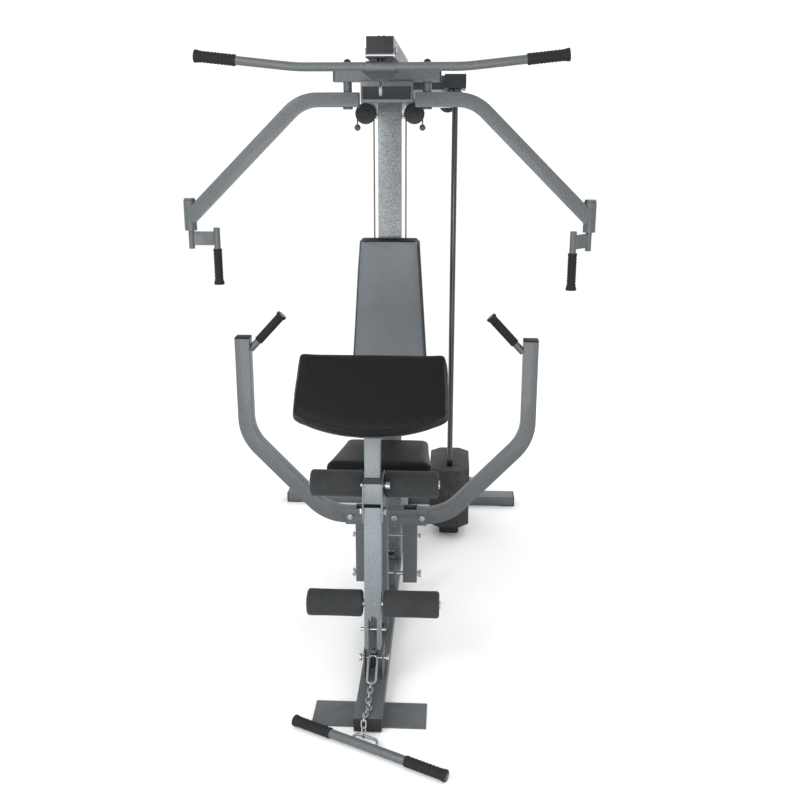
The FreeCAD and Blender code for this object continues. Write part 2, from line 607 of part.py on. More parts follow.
def build_curl_pad():
    post = tube("curl_tube", ("curl_post_side", "curl_post_side", "curl_post_top - curl_post_bottom"),
                ("-curl_post_side / 2", "-pivot_y - curl_post_side / 2", "curl_post_bottom"), "Z", "tube_wall")
    fork = box("curl_fork", ("2 * curl_post_side", "2 * (pull_pin + rest_gap)", "pull_pin_z - curl_post_bottom"),
               ("-curl_post_side", "-pivot_y - pull_pin - rest_gap", "curl_post_bottom"))
    fork_top = cylinder("curl_fork_top", "pull_pin + rest_gap", "2 * curl_post_side",
                        ("-curl_post_side", "-pivot_y", "pull_pin_z"), "X")

    slope = math.radians(amount("curl_slope"))
    down = FreeCAD.Vector(0, -math.cos(slope), -math.sin(slope))
    out = FreeCAD.Vector(0, -math.sin(slope), math.cos(slope))
    top = vector(0, "-curl_top_y", "curl_top_z")

    def spot(x, v, lift):
        return top + FreeCAD.Vector(x, 0, 0) + down * v + out * lift

    def slab(lift, thick, inset):
        wide = amount("curl_wide_half") - inset
        narrow = amount("curl_top_half") - inset
        wide_at = amount("curl_wide_at")
        corner_at = amount("curl_corner_at")
        low = amount("curl_length") - inset
        edges = [
            Part.LineSegment(spot(-narrow, inset, lift), spot(narrow, inset, lift)).toShape(),
            Part.LineSegment(spot(narrow, inset, lift), spot(wide, wide_at, lift)).toShape(),
            Part.LineSegment(spot(wide, wide_at, lift), spot(wide - inset, corner_at, lift)).toShape()
            if inset else
            Part.LineSegment(spot(wide, wide_at, lift), spot(wide, corner_at, lift)).toShape()]
        right = wide - inset if inset else wide
        edges.append(Part.Arc(spot(right, corner_at, lift), spot(0, low, lift), spot(-right, corner_at, lift)).toShape())
        edges.append(Part.LineSegment(spot(-right, corner_at, lift), spot(-wide, wide_at, lift)).toShape())
        edges.append(Part.LineSegment(spot(-wide, wide_at, lift), spot(-narrow, inset, lift)).toShape())
        return Part.Face(Part.Wire(edges)).extrude(out * thick)

    thick = amount("curl_thick")
    board = amount("curl_board")
    above_board = shaped("curl_post_trim", slab(-thick - board, amount("curl_length"), 0))
    node("curl_post", cut("curl_post", post, fork, fork_top, above_board))
    node("curl_pad", shaped("curl_pad_cushion", slab(-thick, thick, 0)))
    node("curl_board", shaped("curl_pad_board", slab(-thick - board, board, board)))


def build_pull_pin():
    length = "tube_side + 2 * (front_plate_thick + washer_thick)"
    start = "-tube_side / 2 - front_plate_thick - washer_thick"
    shank = cylinder("pull_pin_shank", "pull_pin", length, (start, "-pivot_y", "pull_pin_z"), "X")
    knob = cylinder("pull_pin_knob", "2 * pull_pin", "2 * washer_thick",
                    ("tube_side / 2 + front_plate_thick + washer_thick", "-pivot_y", "pull_pin_z"), "X")
    node("pull_pin", fuse("pull_pin", shank, knob))


def on_lever(thing):
    """The lever's pieces are drawn about its pivot and hang a little forward."""
    return swing(thing, (0, "-pivot_y", "pivot_z"), (1, 0, 0), "-lever_tilt")


def build_lever():
    half = "lever_width / 2"
    bar = tube("lever_tube", ("lever_width", "lever_deep", "lever_above + lever_below"),
               ("-" + half, "-lever_deep / 2", "-lever_below"), "Z", "tube_wall")
    holes = [cylinder("lever_pivot_hole", "lever_pin + running_fit", "2 * lever_width", ("-lever_width", 0, 0), "X"),
             cylinder("lever_axle_hole", "roller_tube", "2 * lever_width",
                      ("-lever_width", 0, "-lower_roller_at"), "X"),
             cylinder("lever_bolt_hole", "bolt_radius", "2 * lever_width",
                      ("-lever_width", 0, "-lever_bolt_at"), "X"),
             box("lever_slot_box", ("lever_slot", "2 * lever_deep", "lever_slot_height - lever_slot / 2"),
                 ("-lever_slot / 2", "-lever_deep", "-lever_below")),
             cylinder("lever_slot_round", "lever_slot / 2", "2 * lever_deep",
                      (0, "-lever_deep", "-lever_below + lever_slot_height - lever_slot / 2"), "Y")]
    node("leg_lever", on_lever(cut("leg_lever", bar, *holes)))

    axle = cylinder("lower_axle", "roller_tube", "2 * (lower_roller_half + roller_cap)",
                    ("-lower_roller_half - roller_cap", 0, "-lower_roller_at"), "X")
    bolt = cylinder("lever_bolt", "bolt_radius", "lever_width + 4 * washer_thick",
                    ("-" + half + " - 2 * washer_thick", 0, "-lever_bolt_at"), "X")
    node("lower_roller_tube", on_lever(group("lower_roller_tube", axle, bolt)))
    foams = roller_pair("lower", "lower_roller_half", (0, "-lower_roller_at"))
    node("lower_rollers", on_lever(group("lower_rollers", *foams)))

    upper_spot = ("-upper_roller_y", "upper_roller_z")
    node("upper_roller_tube", cylinder("upper_axle", "roller_tube", "2 * (upper_roller_half + roller_cap)",
                                       ("-upper_roller_half - roller_cap",) + upper_spot, "X"))
    node("upper_rollers", group("upper_rollers", *roller_pair("upper", "upper_roller_half", upper_spot)))


def roller_pair(name, half, spot):
    foams = []
    for side in (-1, 1):
        label = "%s_roller_%s" % (name, side_name(side))
        start = "roller_inner" if side > 0 else "-" + half
        length = half + " - roller_inner"
        foam = cylinder(label, "roller_radius", length, (start,) + spot, "X")
        bore = cylinder(label + "_bore", "roller_bore", length, (start,) + spot, "X")
        foams.append(cut(label, foam, bore))
    return foams


# ---- pulleys, their bolts and brackets ----

def wheel(name, radius, centre, axis):
    """A grooved pulley, turned about its own Z, then laid along its axle."""
    bore = "axle_radius + running_fit"
    half = "wheel_width / 2"
    floor = "%s - rope_depth - cable_radius - groove_clear" % radius
    trough = "(cable_radius + groove_clear)"
    mouth = "(cable_radius + groove_flare)"
    profile = ((bore, "-" + half), (radius, "-" + half), (radius, "-" + mouth), (floor, "-" + trough),
               (floor, trough), (radius, mouth), (radius, half), (bore, half))
    return place(revolved(name, profile), centre, LOCAL_AXES[axis])


def build_wheels():
    level = "low_wheel_z"
    up_y = "cable_down_y - small_wheel + rope_depth"
    block_y = "cable_down_y + small_wheel - rope_depth"
    node("boom_wheel_front", wheel("boom_wheel_front", "big_wheel", (0, "-boom_wheel_y", "boom_wheel_z"), "X"))
    node("boom_wheel_rear", wheel("boom_wheel_rear", "big_wheel", (0, BOOM_REAR_WHEEL_Y, "boom_wheel_z"), "X"))
    node("low_wheel", wheel("low_wheel", "small_wheel", (0, "-low_wheel_y", level), "X"))
    node("base_wheel", wheel("base_wheel", "small_wheel", (0, up_y, level), "X"))
    node("top_wheels", group(
        "top_wheels",
        wheel("top_wheel_left", "small_wheel", ("small_wheel - rope_depth", STACK_ROD_Y, "top_wheel_z"), "Y"),
        wheel("top_wheel_right", "small_wheel",
              ("stack_x - small_wheel + rope_depth", STACK_ROD_Y, "top_wheel_z"), "Y")))
    node("block_wheels", group(
        "block_wheels",
        wheel("block_wheel_top", "small_wheel", (0, block_y, "block_top_z"), "X"),
        wheel("block_wheel_low", "small_wheel", (0, block_y, "block_low_z"), "X")))
    node("butterfly_wheels", group("butterfly_wheels", *[
        wheel("butterfly_wheel_" + side_name(side), "small_wheel",
              ("%d * butterfly_x" % side, "butterfly_y", "butterfly_z"), "Y") for side in (-1, 1)]))

    half_block = "wheel_width / 2 + ear_thick + washer_thick"
    half_ear = "ear_gap + ear_thick + 2 * washer_thick"
    boom_half = "rail_width / 2 + washer_thick"
    plate_half = "tube_side / 2 + front_plate_thick + washer_thick"
    bolts = []
    for name, radius, half, y, z in (
            ("boom_front_bolt", "axle_radius", boom_half, "-boom_wheel_y", "boom_wheel_z"),
            ("boom_rear_bolt", "axle_radius", boom_half, BOOM_REAR_WHEEL_Y, "boom_wheel_z"),
            ("low_bolt", "axle_radius", half_ear, "-low_wheel_y", level),
            ("base_bolt", "axle_radius", half_ear, up_y, level),
            ("block_top_bolt", "axle_radius", half_block, block_y, "block_top_z"),
            ("block_low_bolt", "axle_radius", half_block, block_y, "block_low_z"),
            ("press_pivot_bolt", "press_axle", "post_x + tube_side / 2 + 2 * washer_thick",
             "-press_front + tube_side / 2", "press_axle_z"),
            ("lever_pivot_bolt", "lever_pin", plate_half, "-pivot_y", "pivot_z")):
        bolts.append(cylinder(name, radius, "2 * (%s)" % half, ("-(%s)" % half, y, z), "X"))
    for name, x, y, z in (
            ("top_left_bolt", "small_wheel - rope_depth", STACK_ROD_Y, "top_wheel_z"),
            ("top_right_bolt", "stack_x - small_wheel + rope_depth", STACK_ROD_Y, "top_wheel_z")):
        bolts.append(cylinder(name, "axle_radius", "2 * (%s)" % half_block, (x, y + " - (%s)" % half_block, z), "Y"))
    for side in (-1, 1):
        label = side_name(side)
        x = "%d * butterfly_x" % side
        front = "butterfly_y - wheel_width / 2 - joint_clear - washer_thick"
        back = "butterfly_y + wheel_width / 2 + joint_clear"
        shank = cylinder("butterfly_shank_" + label, "axle_radius",
                         "upright_deep + ear_thick + washer_thick - (%s)" % front, (x, front, "butterfly_z"), "Y")
        head = cylinder("butterfly_head_" + label, "2 * axle_radius", "washer_thick", (x, front, "butterfly_z"), "Y")
        sleeve = cylinder("butterfly_spacer_" + label, "2 * axle_radius", "upright_deep - (%s)" % back,
                          (x, back, "butterfly_z"), "Y")
        bolts.append(fuse("butterfly_bolt_" + label, shank, head, sleeve))
    node("axle_bolts", group("axle_bolts", *bolts))


def drilled(name, size, corner, holes):
    """A plate with round holes: each hole is (radius, spot, axis)."""
    tools = []
    for index, (radius, spot, axis) in enumerate(holes):
        start = list(spot)
        place_of = "XYZ".index(axis)
        start[place_of] = "%s - rail_width" % spot[place_of]
        tools.append(cylinder("%s_hole%d" % (name, index), radius, "2 * rail_width", start, axis))
    return cut(name, box(name + "_plate", size, corner), *tools)


def build_brackets():
    """Ears and cheeks that hold the low pulleys and the press arm's pivot on the base rail."""
    top = "floor_gap + rail_height"
    ears = []
    for name, middle in (("low", "-low_wheel_y"), ("base", "cable_down_y - small_wheel + rope_depth")):
        for side in (-1, 1):
            x = "ear_gap" if side > 0 else "-ear_gap - ear_thick"
            ears.append(drilled("%s_ear_%s" % (name, side_name(side)),
                                ("ear_thick", "2 * small_wheel", "low_wheel_z + small_wheel + tube_wall - (%s)" % top),
                                (x, "(%s) - small_wheel" % middle, top),
                                [("axle_radius", (0, middle, "low_wheel_z"), "X")]))
    press_y = "-press_front + tube_side / 2"
    for side in (-1, 1):
        x = "ear_gap" if side > 0 else "-ear_gap - 2 * ear_thick"
        ears.append(drilled("press_cheek_" + side_name(side),
                            ("2 * ear_thick", "tube_side", "press_axle_z + 3 * press_axle - (%s)" % top),
                            (x, "-press_front", top), [("press_axle", (0, press_y, "press_axle_z"), "X")]))
    node("base_brackets", group("base_brackets", *ears))

    plates = []
    block_y = "cable_down_y + small_wheel - rope_depth"
    for side in (-1, 1):
        x = "wheel_width / 2 + joint_clear" if side > 0 else "-wheel_width / 2 - joint_clear - ear_thick"
        plates.append(drilled("block_plate_" + side_name(side),
                              ("ear_thick", "small_wheel", "block_top_z - block_low_z + 2 * small_wheel"),
                              (x, "%s - small_wheel / 2" % block_y, "block_low_z - small_wheel"),
                              [("axle_radius", (0, block_y, "block_top_z"), "X"),
                               ("axle_radius", (0, block_y, "block_low_z"), "X")]))
        y = ("%s + wheel_width / 2 + joint_clear" if side > 0
             else "%s - wheel_width / 2 - joint_clear - ear_thick") % ("(" + STACK_ROD_Y + ")")
        plates.append(drilled("top_cheek_" + side_name(side),
                              ("stack_x", "ear_thick",
                               "boom_bottom - stack_top_height - top_wheel_z + small_wheel / 2"),
                              ("axle_radius", y, "top_wheel_z - small_wheel / 2"),
                              [("axle_radius", ("small_wheel - rope_depth", STACK_ROD_Y, "top_wheel_z"), "Y"),
                               ("axle_radius", ("stack_x - small_wheel + rope_depth", STACK_ROD_Y, "top_wheel_z"),
                                "Y")]))
    plates.append(drilled("butterfly_plate",
                          ("2 * butterfly_x + small_wheel", "ear_thick", "2 * small_wheel"),
                          ("-butterfly_x - small_wheel / 2", "upright_deep", "butterfly_z - small_wheel / 2"),
                          [("axle_radius", ("%d * butterfly_x" % side, "upright_deep", "butterfly_z"), "Y")
                           for side in (-1, 1)]))
    node("pulley_brackets", group("pulley_brackets", *plates))


# ---- cables ----

def build_cables():
    radius = amount("cable_radius")
    big = amount("big_wheel - rope_depth")
    small = amount("small_wheel - rope_depth")
    front_y = amount("-boom_wheel_y") - big
    down_y = amount("cable_down_y")
    up_y = amount(STACK_ROD_Y)
    high = amount("boom_wheel_z") + big
    block_under = amount("block_top_z") - small
    over = amount("top_wheel_z") + small
    stack_x = amount("stack_x")
    main_route = [FreeCAD.Vector(*spot) for spot in (
        (0, front_y, amount("boom_bottom - lat_drop + lat_radius + lat_sleeve_radius + soft_clear")),
        (0, front_y, high), (0, down_y, high), (0, down_y, block_under),
        (0, up_y, block_under), (0, up_y, over), (stack_x, up_y, over), (stack_x, up_y, amount("top_wheel_z")))]
    node("main_cable", round_bar("main_cable", main_route, [big, big, small, small, small, small - 0.001], radius))

    ball_y = amount("-low_wheel_y") - small
    floor_run = amount("low_wheel_z") - small
    block_over = amount("block_low_z") + small
    anchor = amount("floor_gap + rail_height")
    low_route = [FreeCAD.Vector(*spot) for spot in (
        (0, ball_y, amount("ball_z")), (0, ball_y, floor_run), (0, down_y, floor_run), (0, down_y, block_over),
        (0, up_y, block_over), (0, up_y, anchor))]
    low_cable = round_bar("low_rope", low_route, [small] * 4, radius)
    ball = sphere("cable_ball", "ball_radius", (0, "-low_wheel_y - small_wheel + rope_depth", "ball_z"))
    eye_start = eye_spot(amount("ball_radius - 2 * link_wire"))[0]
    eye_end = eye_spot(amount("ball_radius + 2 * (joint_clear + hook_wire + link_wire)"))[0]
    eye = oblong("cable_eye", eye_start, eye_end, FreeCAD.Vector(0, 0, 1), amount("link_width"), amount("link_wire"))
    node("low_cable", fuse("low_cable", low_cable, ball, eye))

    pieces = []
    y = amount("butterfly_y")
    for side in (-1, 1):
        outer = side * (amount("butterfly_x") + small)
        inner = side * (amount("butterfly_x") - small)
        top = amount("butterfly_z") + small
        route = [FreeCAD.Vector(*spot) for spot in (
            (outer, y, amount("butterfly_z - small_wheel")), (outer, y, top), (inner, y, top),
            (inner, y, amount("butterfly_low_z")))]
        pieces.append(round_bar("butterfly_rope_" + side_name(side), route, [small, small], radius))
        pieces.append(sphere("butterfly_stop_" + side_name(side), "ball_radius",
                             (outer, "butterfly_y", "butterfly_z - small_wheel - ball_radius")))
    yoke = box("butterfly_yoke", ("2 * (butterfly_x - small_wheel + rope_depth) + tube_side / 2",
                                  "upright_deep / 2", "tube_side / 2"),
               ("-(butterfly_x - small_wheel + rope_depth) - tube_side / 4", "upright_deep + joint_clear",
                "butterfly_low_z - tube_side / 2"))
    node("butterfly_cables", group("butterfly_cables", *(pieces + [yoke])))

    stem_top = amount(STACK_TOP) + amount("head_thick + stem_rise")
    route = [FreeCAD.Vector(stack_x, up_y, stem_top), FreeCAD.Vector(stack_x, up_y, amount("top_wheel_z"))]
    node("stack_cable_drop", round_bar("stack_cable_drop", route, [], radius))


# ---- weight stack ----

def chamfered(name, level, thick):
    """One plate of the stack: a slab with its four corners cut off and holes for rods and stem."""
    wide = "plate_width / 2"
    deep = "plate_length / 2"
    slim = wide + " - plate_chamfer"
    short = deep + " - plate_chamfer"
    outline = (("-(%s)" % slim, "-(%s)" % deep), (slim, "-(%s)" % deep), (wide, "-(%s)" % short), (wide, short),
               (slim, deep), ("-(%s)" % slim, deep), ("-(%s)" % wide, short), ("-(%s)" % wide, "-(%s)" % short))
    slab = place(padded(name + "_slab", "XY_Plane", outline, thick), ("stack_x", STACK_ROD_Y, level))
    holes = [cylinder("%s_rod_hole%d" % (name, index), "rod_hole", "3 * plate_thick",
                      ("stack_x", "%s + %d * rod_spread" % (STACK_ROD_Y, way), "%s - plate_thick" % level))
             for index, way in enumerate((-1, 1))]
    holes.append(cylinder(name + "_stem_hole", "stem_hole", "3 * plate_thick",
                          ("stack_x", STACK_ROD_Y, "%s - plate_thick" % level)))
    return slab, holes


def plate_level(index):
    return "floor_gap + rail_height + bumper_height + %d * (plate_thick + plate_gap)" % index


def build_stack():
    plates = []
    for index in range(RESTING_PLATES + LIFTED_PLATES):
        name = "weight_%d" % (index + 1)
        slab, holes = chamfered(name, plate_level(index), "plate_thick")
        holes.append(cylinder(name + "_pin_hole", "selector_hole", "plate_width / 2 + 3 * stem_radius",
                              ("stack_x - 3 * stem_radius", STACK_ROD_Y,
                               plate_level(index) + " + plate_thick / 2"), "X"))
        plates.append(cut(name, slab, *holes))
    node("resting_plates", group("resting_plates", *plates[:RESTING_PLATES]))
    node("lifted_plates", group("lifted_plates", *plates[RESTING_PLATES:]))

    slab, holes = chamfered("head", STACK_TOP, "head_thick")
    head = cut("head", slab, *holes[:2])
    foot = plate_level(0)
    stem = cylinder("stem", "stem_radius", "%s + head_thick + stem_rise - (%s)" % (STACK_TOP, foot),
                    ("stack_x", STACK_ROD_Y, foot))
    pin_holes = [cylinder("stem_hole_%d" % (index + 1), "selector_hole", "4 * stem_radius",
                          ("stack_x - 2 * stem_radius", STACK_ROD_Y, plate_level(index) + " + plate_thick / 2"),
                          "X") for index in range(RESTING_PLATES + LIFTED_PLATES)]
    node("stack_head", cut("stack_stem", fuse("stack_head", head, stem), *pin_holes))

    chosen = plate_level(RESTING_PLATES) + " + plate_thick / 2"
    outer = "stack_x + plate_width / 2"
    shank = cylinder("selector_shank", "selector_radius", "plate_width / 2 + 2 * stem_radius + joint_clear",
                     ("stack_x - 2 * stem_radius", STACK_ROD_Y, chosen), "X")
    knob = cylinder("selector_knob", "3 * selector_radius", "3 * washer_thick",
                    (outer + " + joint_clear", STACK_ROD_Y, chosen), "X")
    node("selector_pin", fuse("selector_pin", shank, knob))

    rods = []
    for way in (-1, 1):
        y = "%s + %d * rod_spread" % (STACK_ROD_Y, way)
        label = "front" if way < 0 else "rear"
        rods.append(cylinder("guide_rod_" + label, "rod_radius",
                             "boom_bottom - stack_top_height - floor_gap - rail_height",
                             ("stack_x", y, "floor_gap + rail_height")))
        for name, radius, height, level in (
                ("collar", "rod_collar_radius", "rod_collar_height", "boom_bottom - stack_top_height - rod_collar_height"),
                ("bumper", "bumper_radius", "bumper_height", "floor_gap + rail_height")):
            ring = cylinder("%s_%s" % (name, label), radius, height, ("stack_x", y, level))
            bore = cylinder("%s_bore_%s" % (name, label), "rod_radius", height, ("stack_x", y, level))
            rods.append(cut("%s_%s" % (name, label), ring, bore))
    node("guide_rods", group("guide_rods", *rods))

    top = tube("stack_top", ("rail_width", "stack_top_rear - stack_top_front", "stack_top_height"),
               ("stack_x - rail_width / 2", "stack_top_front", "boom_bottom - stack_top_height"), "Y", "tube_wall")
    link = tube("stack_link", ("stack_x", "tube_side", "stack_top_height"),
                ("-rail_width / 2", "boom_rear - tube_side", "boom_bottom - stack_top_height"), "X", "tube_wall")
    node("stack_top_frame", fuse("stack_top_frame", top, link))


# ---- lat bar ----

def build_lat_bar():
    y = amount("-boom_wheel_y - big_wheel + rope_depth")
    low = amount("boom_bottom - lat_drop") + amount("lat_radius")
    high = low + amount("lat_rise")
    straight = amount("lat_straight")
    half = amount("lat_half")
    corners = [FreeCAD.Vector(x, y, z) for x, z in (
        (-half, high), (-straight, low), (straight, low), (half, high))]
    bend = amount("lat_bend")
    node("lat_bar", round_bar("lat_bar", corners, [bend, bend], amount("lat_radius")))
    grips = []
    length = amount("grip_length")
    for side in (-1, 1):
        grip = revolved("lat_grip_" + side_name(side), grip_profile("lat_radius", "lat_radius + 4",
                                                                  "lat_radius + 6", "grip_length"))
        end = corners[0] if side < 0 else corners[-1]
        bend_spot = corners[1] if side < 0 else corners[-2]
        heading = (end - bend_spot).normalize()
        grip.Placement = FreeCAD.Placement(end - heading * length, FreeCAD.Rotation(FreeCAD.Vector(0, 0, 1), heading))
        grips.append(grip)
    node("lat_grips", group("lat_grips", *grips))
    level = "boom_bottom - lat_drop + lat_radius"
    spot_y = "-boom_wheel_y - big_wheel + rope_depth"
    sleeve = cylinder("lat_sleeve", "lat_sleeve_radius", "2 * lat_sleeve_half", ("-lat_sleeve_half", spot_y, level), "X")
    bore = cylinder("lat_sleeve_bore", "lat_radius + running_fit", "4 * lat_sleeve_half",
                    ("-2 * lat_sleeve_half", spot_y, level), "X")
    under = level + " - lat_radius - grip_radius * 2"
    stem = cylinder("lat_stem", "wire_radius", "2 * lat_stem_length", (0, spot_y, under + " - lat_stem_length"))
    ring = doc.addObject("Part::Torus", "lat_ring")
    ring.setExpression("Radius1", formula("lat_ring_radius"))
    ring.setExpression("Radius2", formula("wire_radius"))
    place(ring, (0, spot_y, under + " - lat_stem_length - lat_ring_radius"), LOCAL_AXES["X"])
    gusset = padded("lat_gusset", "XZ_Plane", (
        ("-lat_sleeve_half * 1.3", level + " - lat_radius - 1"), ("lat_sleeve_half * 1.3", level + " - lat_radius - 1"),
        ("lat_sleeve_half * 0.4", under), ("-lat_sleeve_half * 0.4", under)), "strap_thick")
    place(gusset, (0, spot_y + " + strap_thick / 2", 0))
    node("lat_hanger", cut("lat_hanger", fuse("lat_hanger", sleeve, gusset, stem, ring), bore))


# ---- low bar, its snap hook and chain, on the floor ----

def oblong(name, start, end, side, width, wire):
    """A closed oblong ring of round wire between two outermost points, flat along the side direction."""
    along = (end - start).normalize()
    across = (side - along * side.dot(along)).normalize()
    half = width / 2 - wire
    a = start + along * (width / 2)
    b = end - along * (width / 2)
    path = Part.Wire([
        Part.LineSegment(a + across * half, b + across * half).toShape(),
        Part.Arc(b + across * half, b + along * half, b - across * half).toShape(),
        Part.LineSegment(b - across * half, a - across * half).toShape(),
        Part.Arc(a - across * half, a - along * half, a + across * half).toShape()])
    ring = Part.Wire(Part.makeCircle(wire, a + across * half, along))
    return shaped(name, path.makePipeShell([ring], True, False))


def eye_spot(reach):
    """A point at a distance from the ball's middle towards the floor in front, and that direction."""
    tilt = math.radians(amount("eye_slope"))
    heading = FreeCAD.Vector(0, -math.cos(tilt), -math.sin(tilt))
    return vector(0, "-low_wheel_y - small_wheel + rope_depth", "ball_z") + heading * reach, heading


def build_low_bar():
    lift = amount("grip_radius + 1.5")
    left = FreeCAD.Vector(-amount("bar_left_x"), -amount("bar_left_y"), lift)
    right = FreeCAD.Vector(amount("bar_right_x"), -amount("bar_right_y"), lift)
    heading = (right - left).normalize()
    square = FreeCAD.Vector(0, 0, 1).cross(heading)
    bar = shaped("low_tube", Part.makeCylinder(amount("bar_radius"), (right - left).Length, left, heading))
    middle = (left + right) / 2
    half = amount("loop_half")
    reach = square * amount("loop_height")
    loop_middle = middle - heading * amount("loop_shift")
    foot_left, foot_right = loop_middle - heading * half, loop_middle + heading * half
    loop = round_bar("low_loop", [foot_left, foot_left + reach, foot_right + reach, foot_right],
                     [half / 2, half / 2], amount("wire_radius"))
    node("low_bar", fuse("low_bar", bar, loop))
    grips = []
    length = amount("grip_length")
    for side, end in ((-1, left), (1, right)):
        grip = revolved("low_grip_" + side_name(side),
                        grip_profile("bar_radius", "grip_radius", "grip_radius + 1.5", "grip_length"))
        grip.Placement = FreeCAD.Placement(end - heading * side * length,
                                           FreeCAD.Rotation(FreeCAD.Vector(0, 0, 1), heading * side))
        grips.append(grip)
    node("low_grips", group("low_grips", *grips))

    node("hook_and_chain", group("hook_and_chain", *chain_pieces(loop_middle - heading * half * 0.4 + reach, heading)))


def chain_pieces(bar_end, bar_heading):
    """A long snap hook on the ball's eye, links along the rail and over its end, and a shackle at the bar."""
    rail_top = amount("floor_gap + rail_height")
    wire = amount("link_wire")
    hook_start, heading = eye_spot(amount("ball_radius + joint_clear"))
    hook_end = hook_start + heading * amount("hook_length")
    hang = rail_top + amount("link_width / 2 + soft_clear")
    route = [hook_end - heading * 2 * amount("hook_wire")] + [FreeCAD.Vector(x, -amount("rail_front") + y, z) for x, y, z in (
        (-4, 66, hang + 2), (3, 38, hang), (-5, 12, hang), (-10, -14, hang + 1))]
    to_bar = (bar_end - route[-1]).normalize()
    shackle_end = bar_end + to_bar * (amount("wire_radius + joint_clear") + 2 * wire)
    shackle_start = shackle_end - to_bar * amount("shackle_length")
    route.append(shackle_start + to_bar * 2 * wire)
    pieces = [oblong("snap_hook", hook_start, hook_end, FreeCAD.Vector(1, 0, 0), amount("hook_width"),
                     amount("hook_wire")),
              oblong("bar_shackle", shackle_start, shackle_end, bar_heading.cross(to_bar),
                     amount("shackle_width"), wire)]
    pitch = amount("link_length - 2 * soft_clear") - 4 * wire
    path = Part.makePolygon(route)
    count = 2 * math.ceil(path.Length / pitch / 2)
    spots = path.discretize(Number=count + 1)
    for index in range(count):
        middle = (spots[index] + spots[index + 1]) / 2
        along = (spots[index + 1] - spots[index]).normalize()
        flat = FreeCAD.Vector(0, 0, 1).cross(along).normalize()
        across = flat if index % 2 else along.cross(flat)
        reach = along * (amount("link_length") / 2)
        pieces.append(oblong("link_%d" % (index + 1), middle - reach, middle + reach, across,
                             amount("link_width"), wire))
    return pieces


# ---- build, check and write ----

def build():
    build_floor_frame()
    build_floor_caps()
    build_top_frame()
    build_frame_caps()
    build_pec_pins()
    for side in (-1, 1):
        build_pec_arm(side)
        build_handle(side)
    build_press_frame()
    grips, caps = zip(*[build_press_arm(side) for side in (-1, 1)])
    build_press_fittings(grips, caps)
    build_seat_frame()
    build_pads()
    build_front_post()
    build_curl_pad()
    build_pull_pin()
    build_lever()
    build_wheels()
    build_brackets()
    build_cables()
    build_stack()
    build_lat_bar()
    build_low_bar()


def check():
    for thing in doc.Objects:
        if "Invalid" in thing.State or "Error" in thing.State:
            raise RuntimeError("%s failed to compute: %s" % (thing.Name, thing.State))
    for thing in nodes:
        shape = thing.Shape
        if shape.isNull() or not shape.isValid() or shape.Volume <= 0:
            raise RuntimeError("%s has no valid shape" % thing.Label)


def write():
    os.makedirs("parts", exist_ok=True)
    for thing in nodes:
        thing.Shape.exportStep("parts/%s.step" % thing.Label)


build()
doc.recompute()
check()
write()
print("%d sub-parts written" % len(nodes))
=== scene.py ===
import bpy
import bmesh
import json
import math
from mathutils import Matrix, Vector


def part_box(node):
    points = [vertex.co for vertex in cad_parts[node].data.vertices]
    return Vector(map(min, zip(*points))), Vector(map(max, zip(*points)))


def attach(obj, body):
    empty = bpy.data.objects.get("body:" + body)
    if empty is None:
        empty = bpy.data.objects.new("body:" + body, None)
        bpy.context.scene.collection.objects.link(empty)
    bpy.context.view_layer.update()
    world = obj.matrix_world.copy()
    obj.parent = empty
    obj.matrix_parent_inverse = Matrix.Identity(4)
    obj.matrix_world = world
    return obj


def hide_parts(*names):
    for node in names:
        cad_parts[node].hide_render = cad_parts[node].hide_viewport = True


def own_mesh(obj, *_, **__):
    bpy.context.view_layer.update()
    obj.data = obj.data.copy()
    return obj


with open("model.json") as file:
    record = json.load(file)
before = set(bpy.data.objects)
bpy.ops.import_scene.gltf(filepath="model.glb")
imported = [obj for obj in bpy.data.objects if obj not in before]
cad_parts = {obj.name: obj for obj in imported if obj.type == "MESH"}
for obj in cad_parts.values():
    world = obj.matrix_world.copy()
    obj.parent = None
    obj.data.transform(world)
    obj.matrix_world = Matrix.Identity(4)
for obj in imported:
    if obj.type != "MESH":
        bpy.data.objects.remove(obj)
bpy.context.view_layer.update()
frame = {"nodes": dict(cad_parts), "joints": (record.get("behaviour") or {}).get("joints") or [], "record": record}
nodes = frame["nodes"]
bodies = frame["record"]["behaviour"]["bodies"]
bodyOfNode = {node: body for body, names in bodies.items() for node in names}


# camera

cameraSetup = {"place": (0.2155, -3.3375, 1.6353), "downTilt": 15.84, "leftTurn": 3.08, "lens": 42.17, "sensor": 36}


def addCamera(setup):
    turn = (math.radians(90 - setup["downTilt"]), 0, math.radians(setup["leftTurn"]))
    bpy.ops.object.camera_add(location=setup["place"], rotation=turn)
    camera = bpy.context.object
    camera.data.lens = setup["lens"]
    camera.data.sensor_width = setup["sensor"]
    bpy.context.scene.camera = camera


addCamera(cameraSetup)
print("camera is in place")


# shader tools

class Wire:
    # an output socket that takes part in plain expressions
    def __init__(self, finish, socket):
        self.finish = finish
        self.socket = socket

    def maths(self, operation, other):
        return self.finish.node("ShaderNodeMath", {"operation": operation}, {0: self, 1: other})

    def __add__(self, other):
        return self.maths("ADD", other)

    __radd__ = __add__

    def __mul__(self, other):
        return self.maths("MULTIPLY", other)

    __rmul__ = __mul__


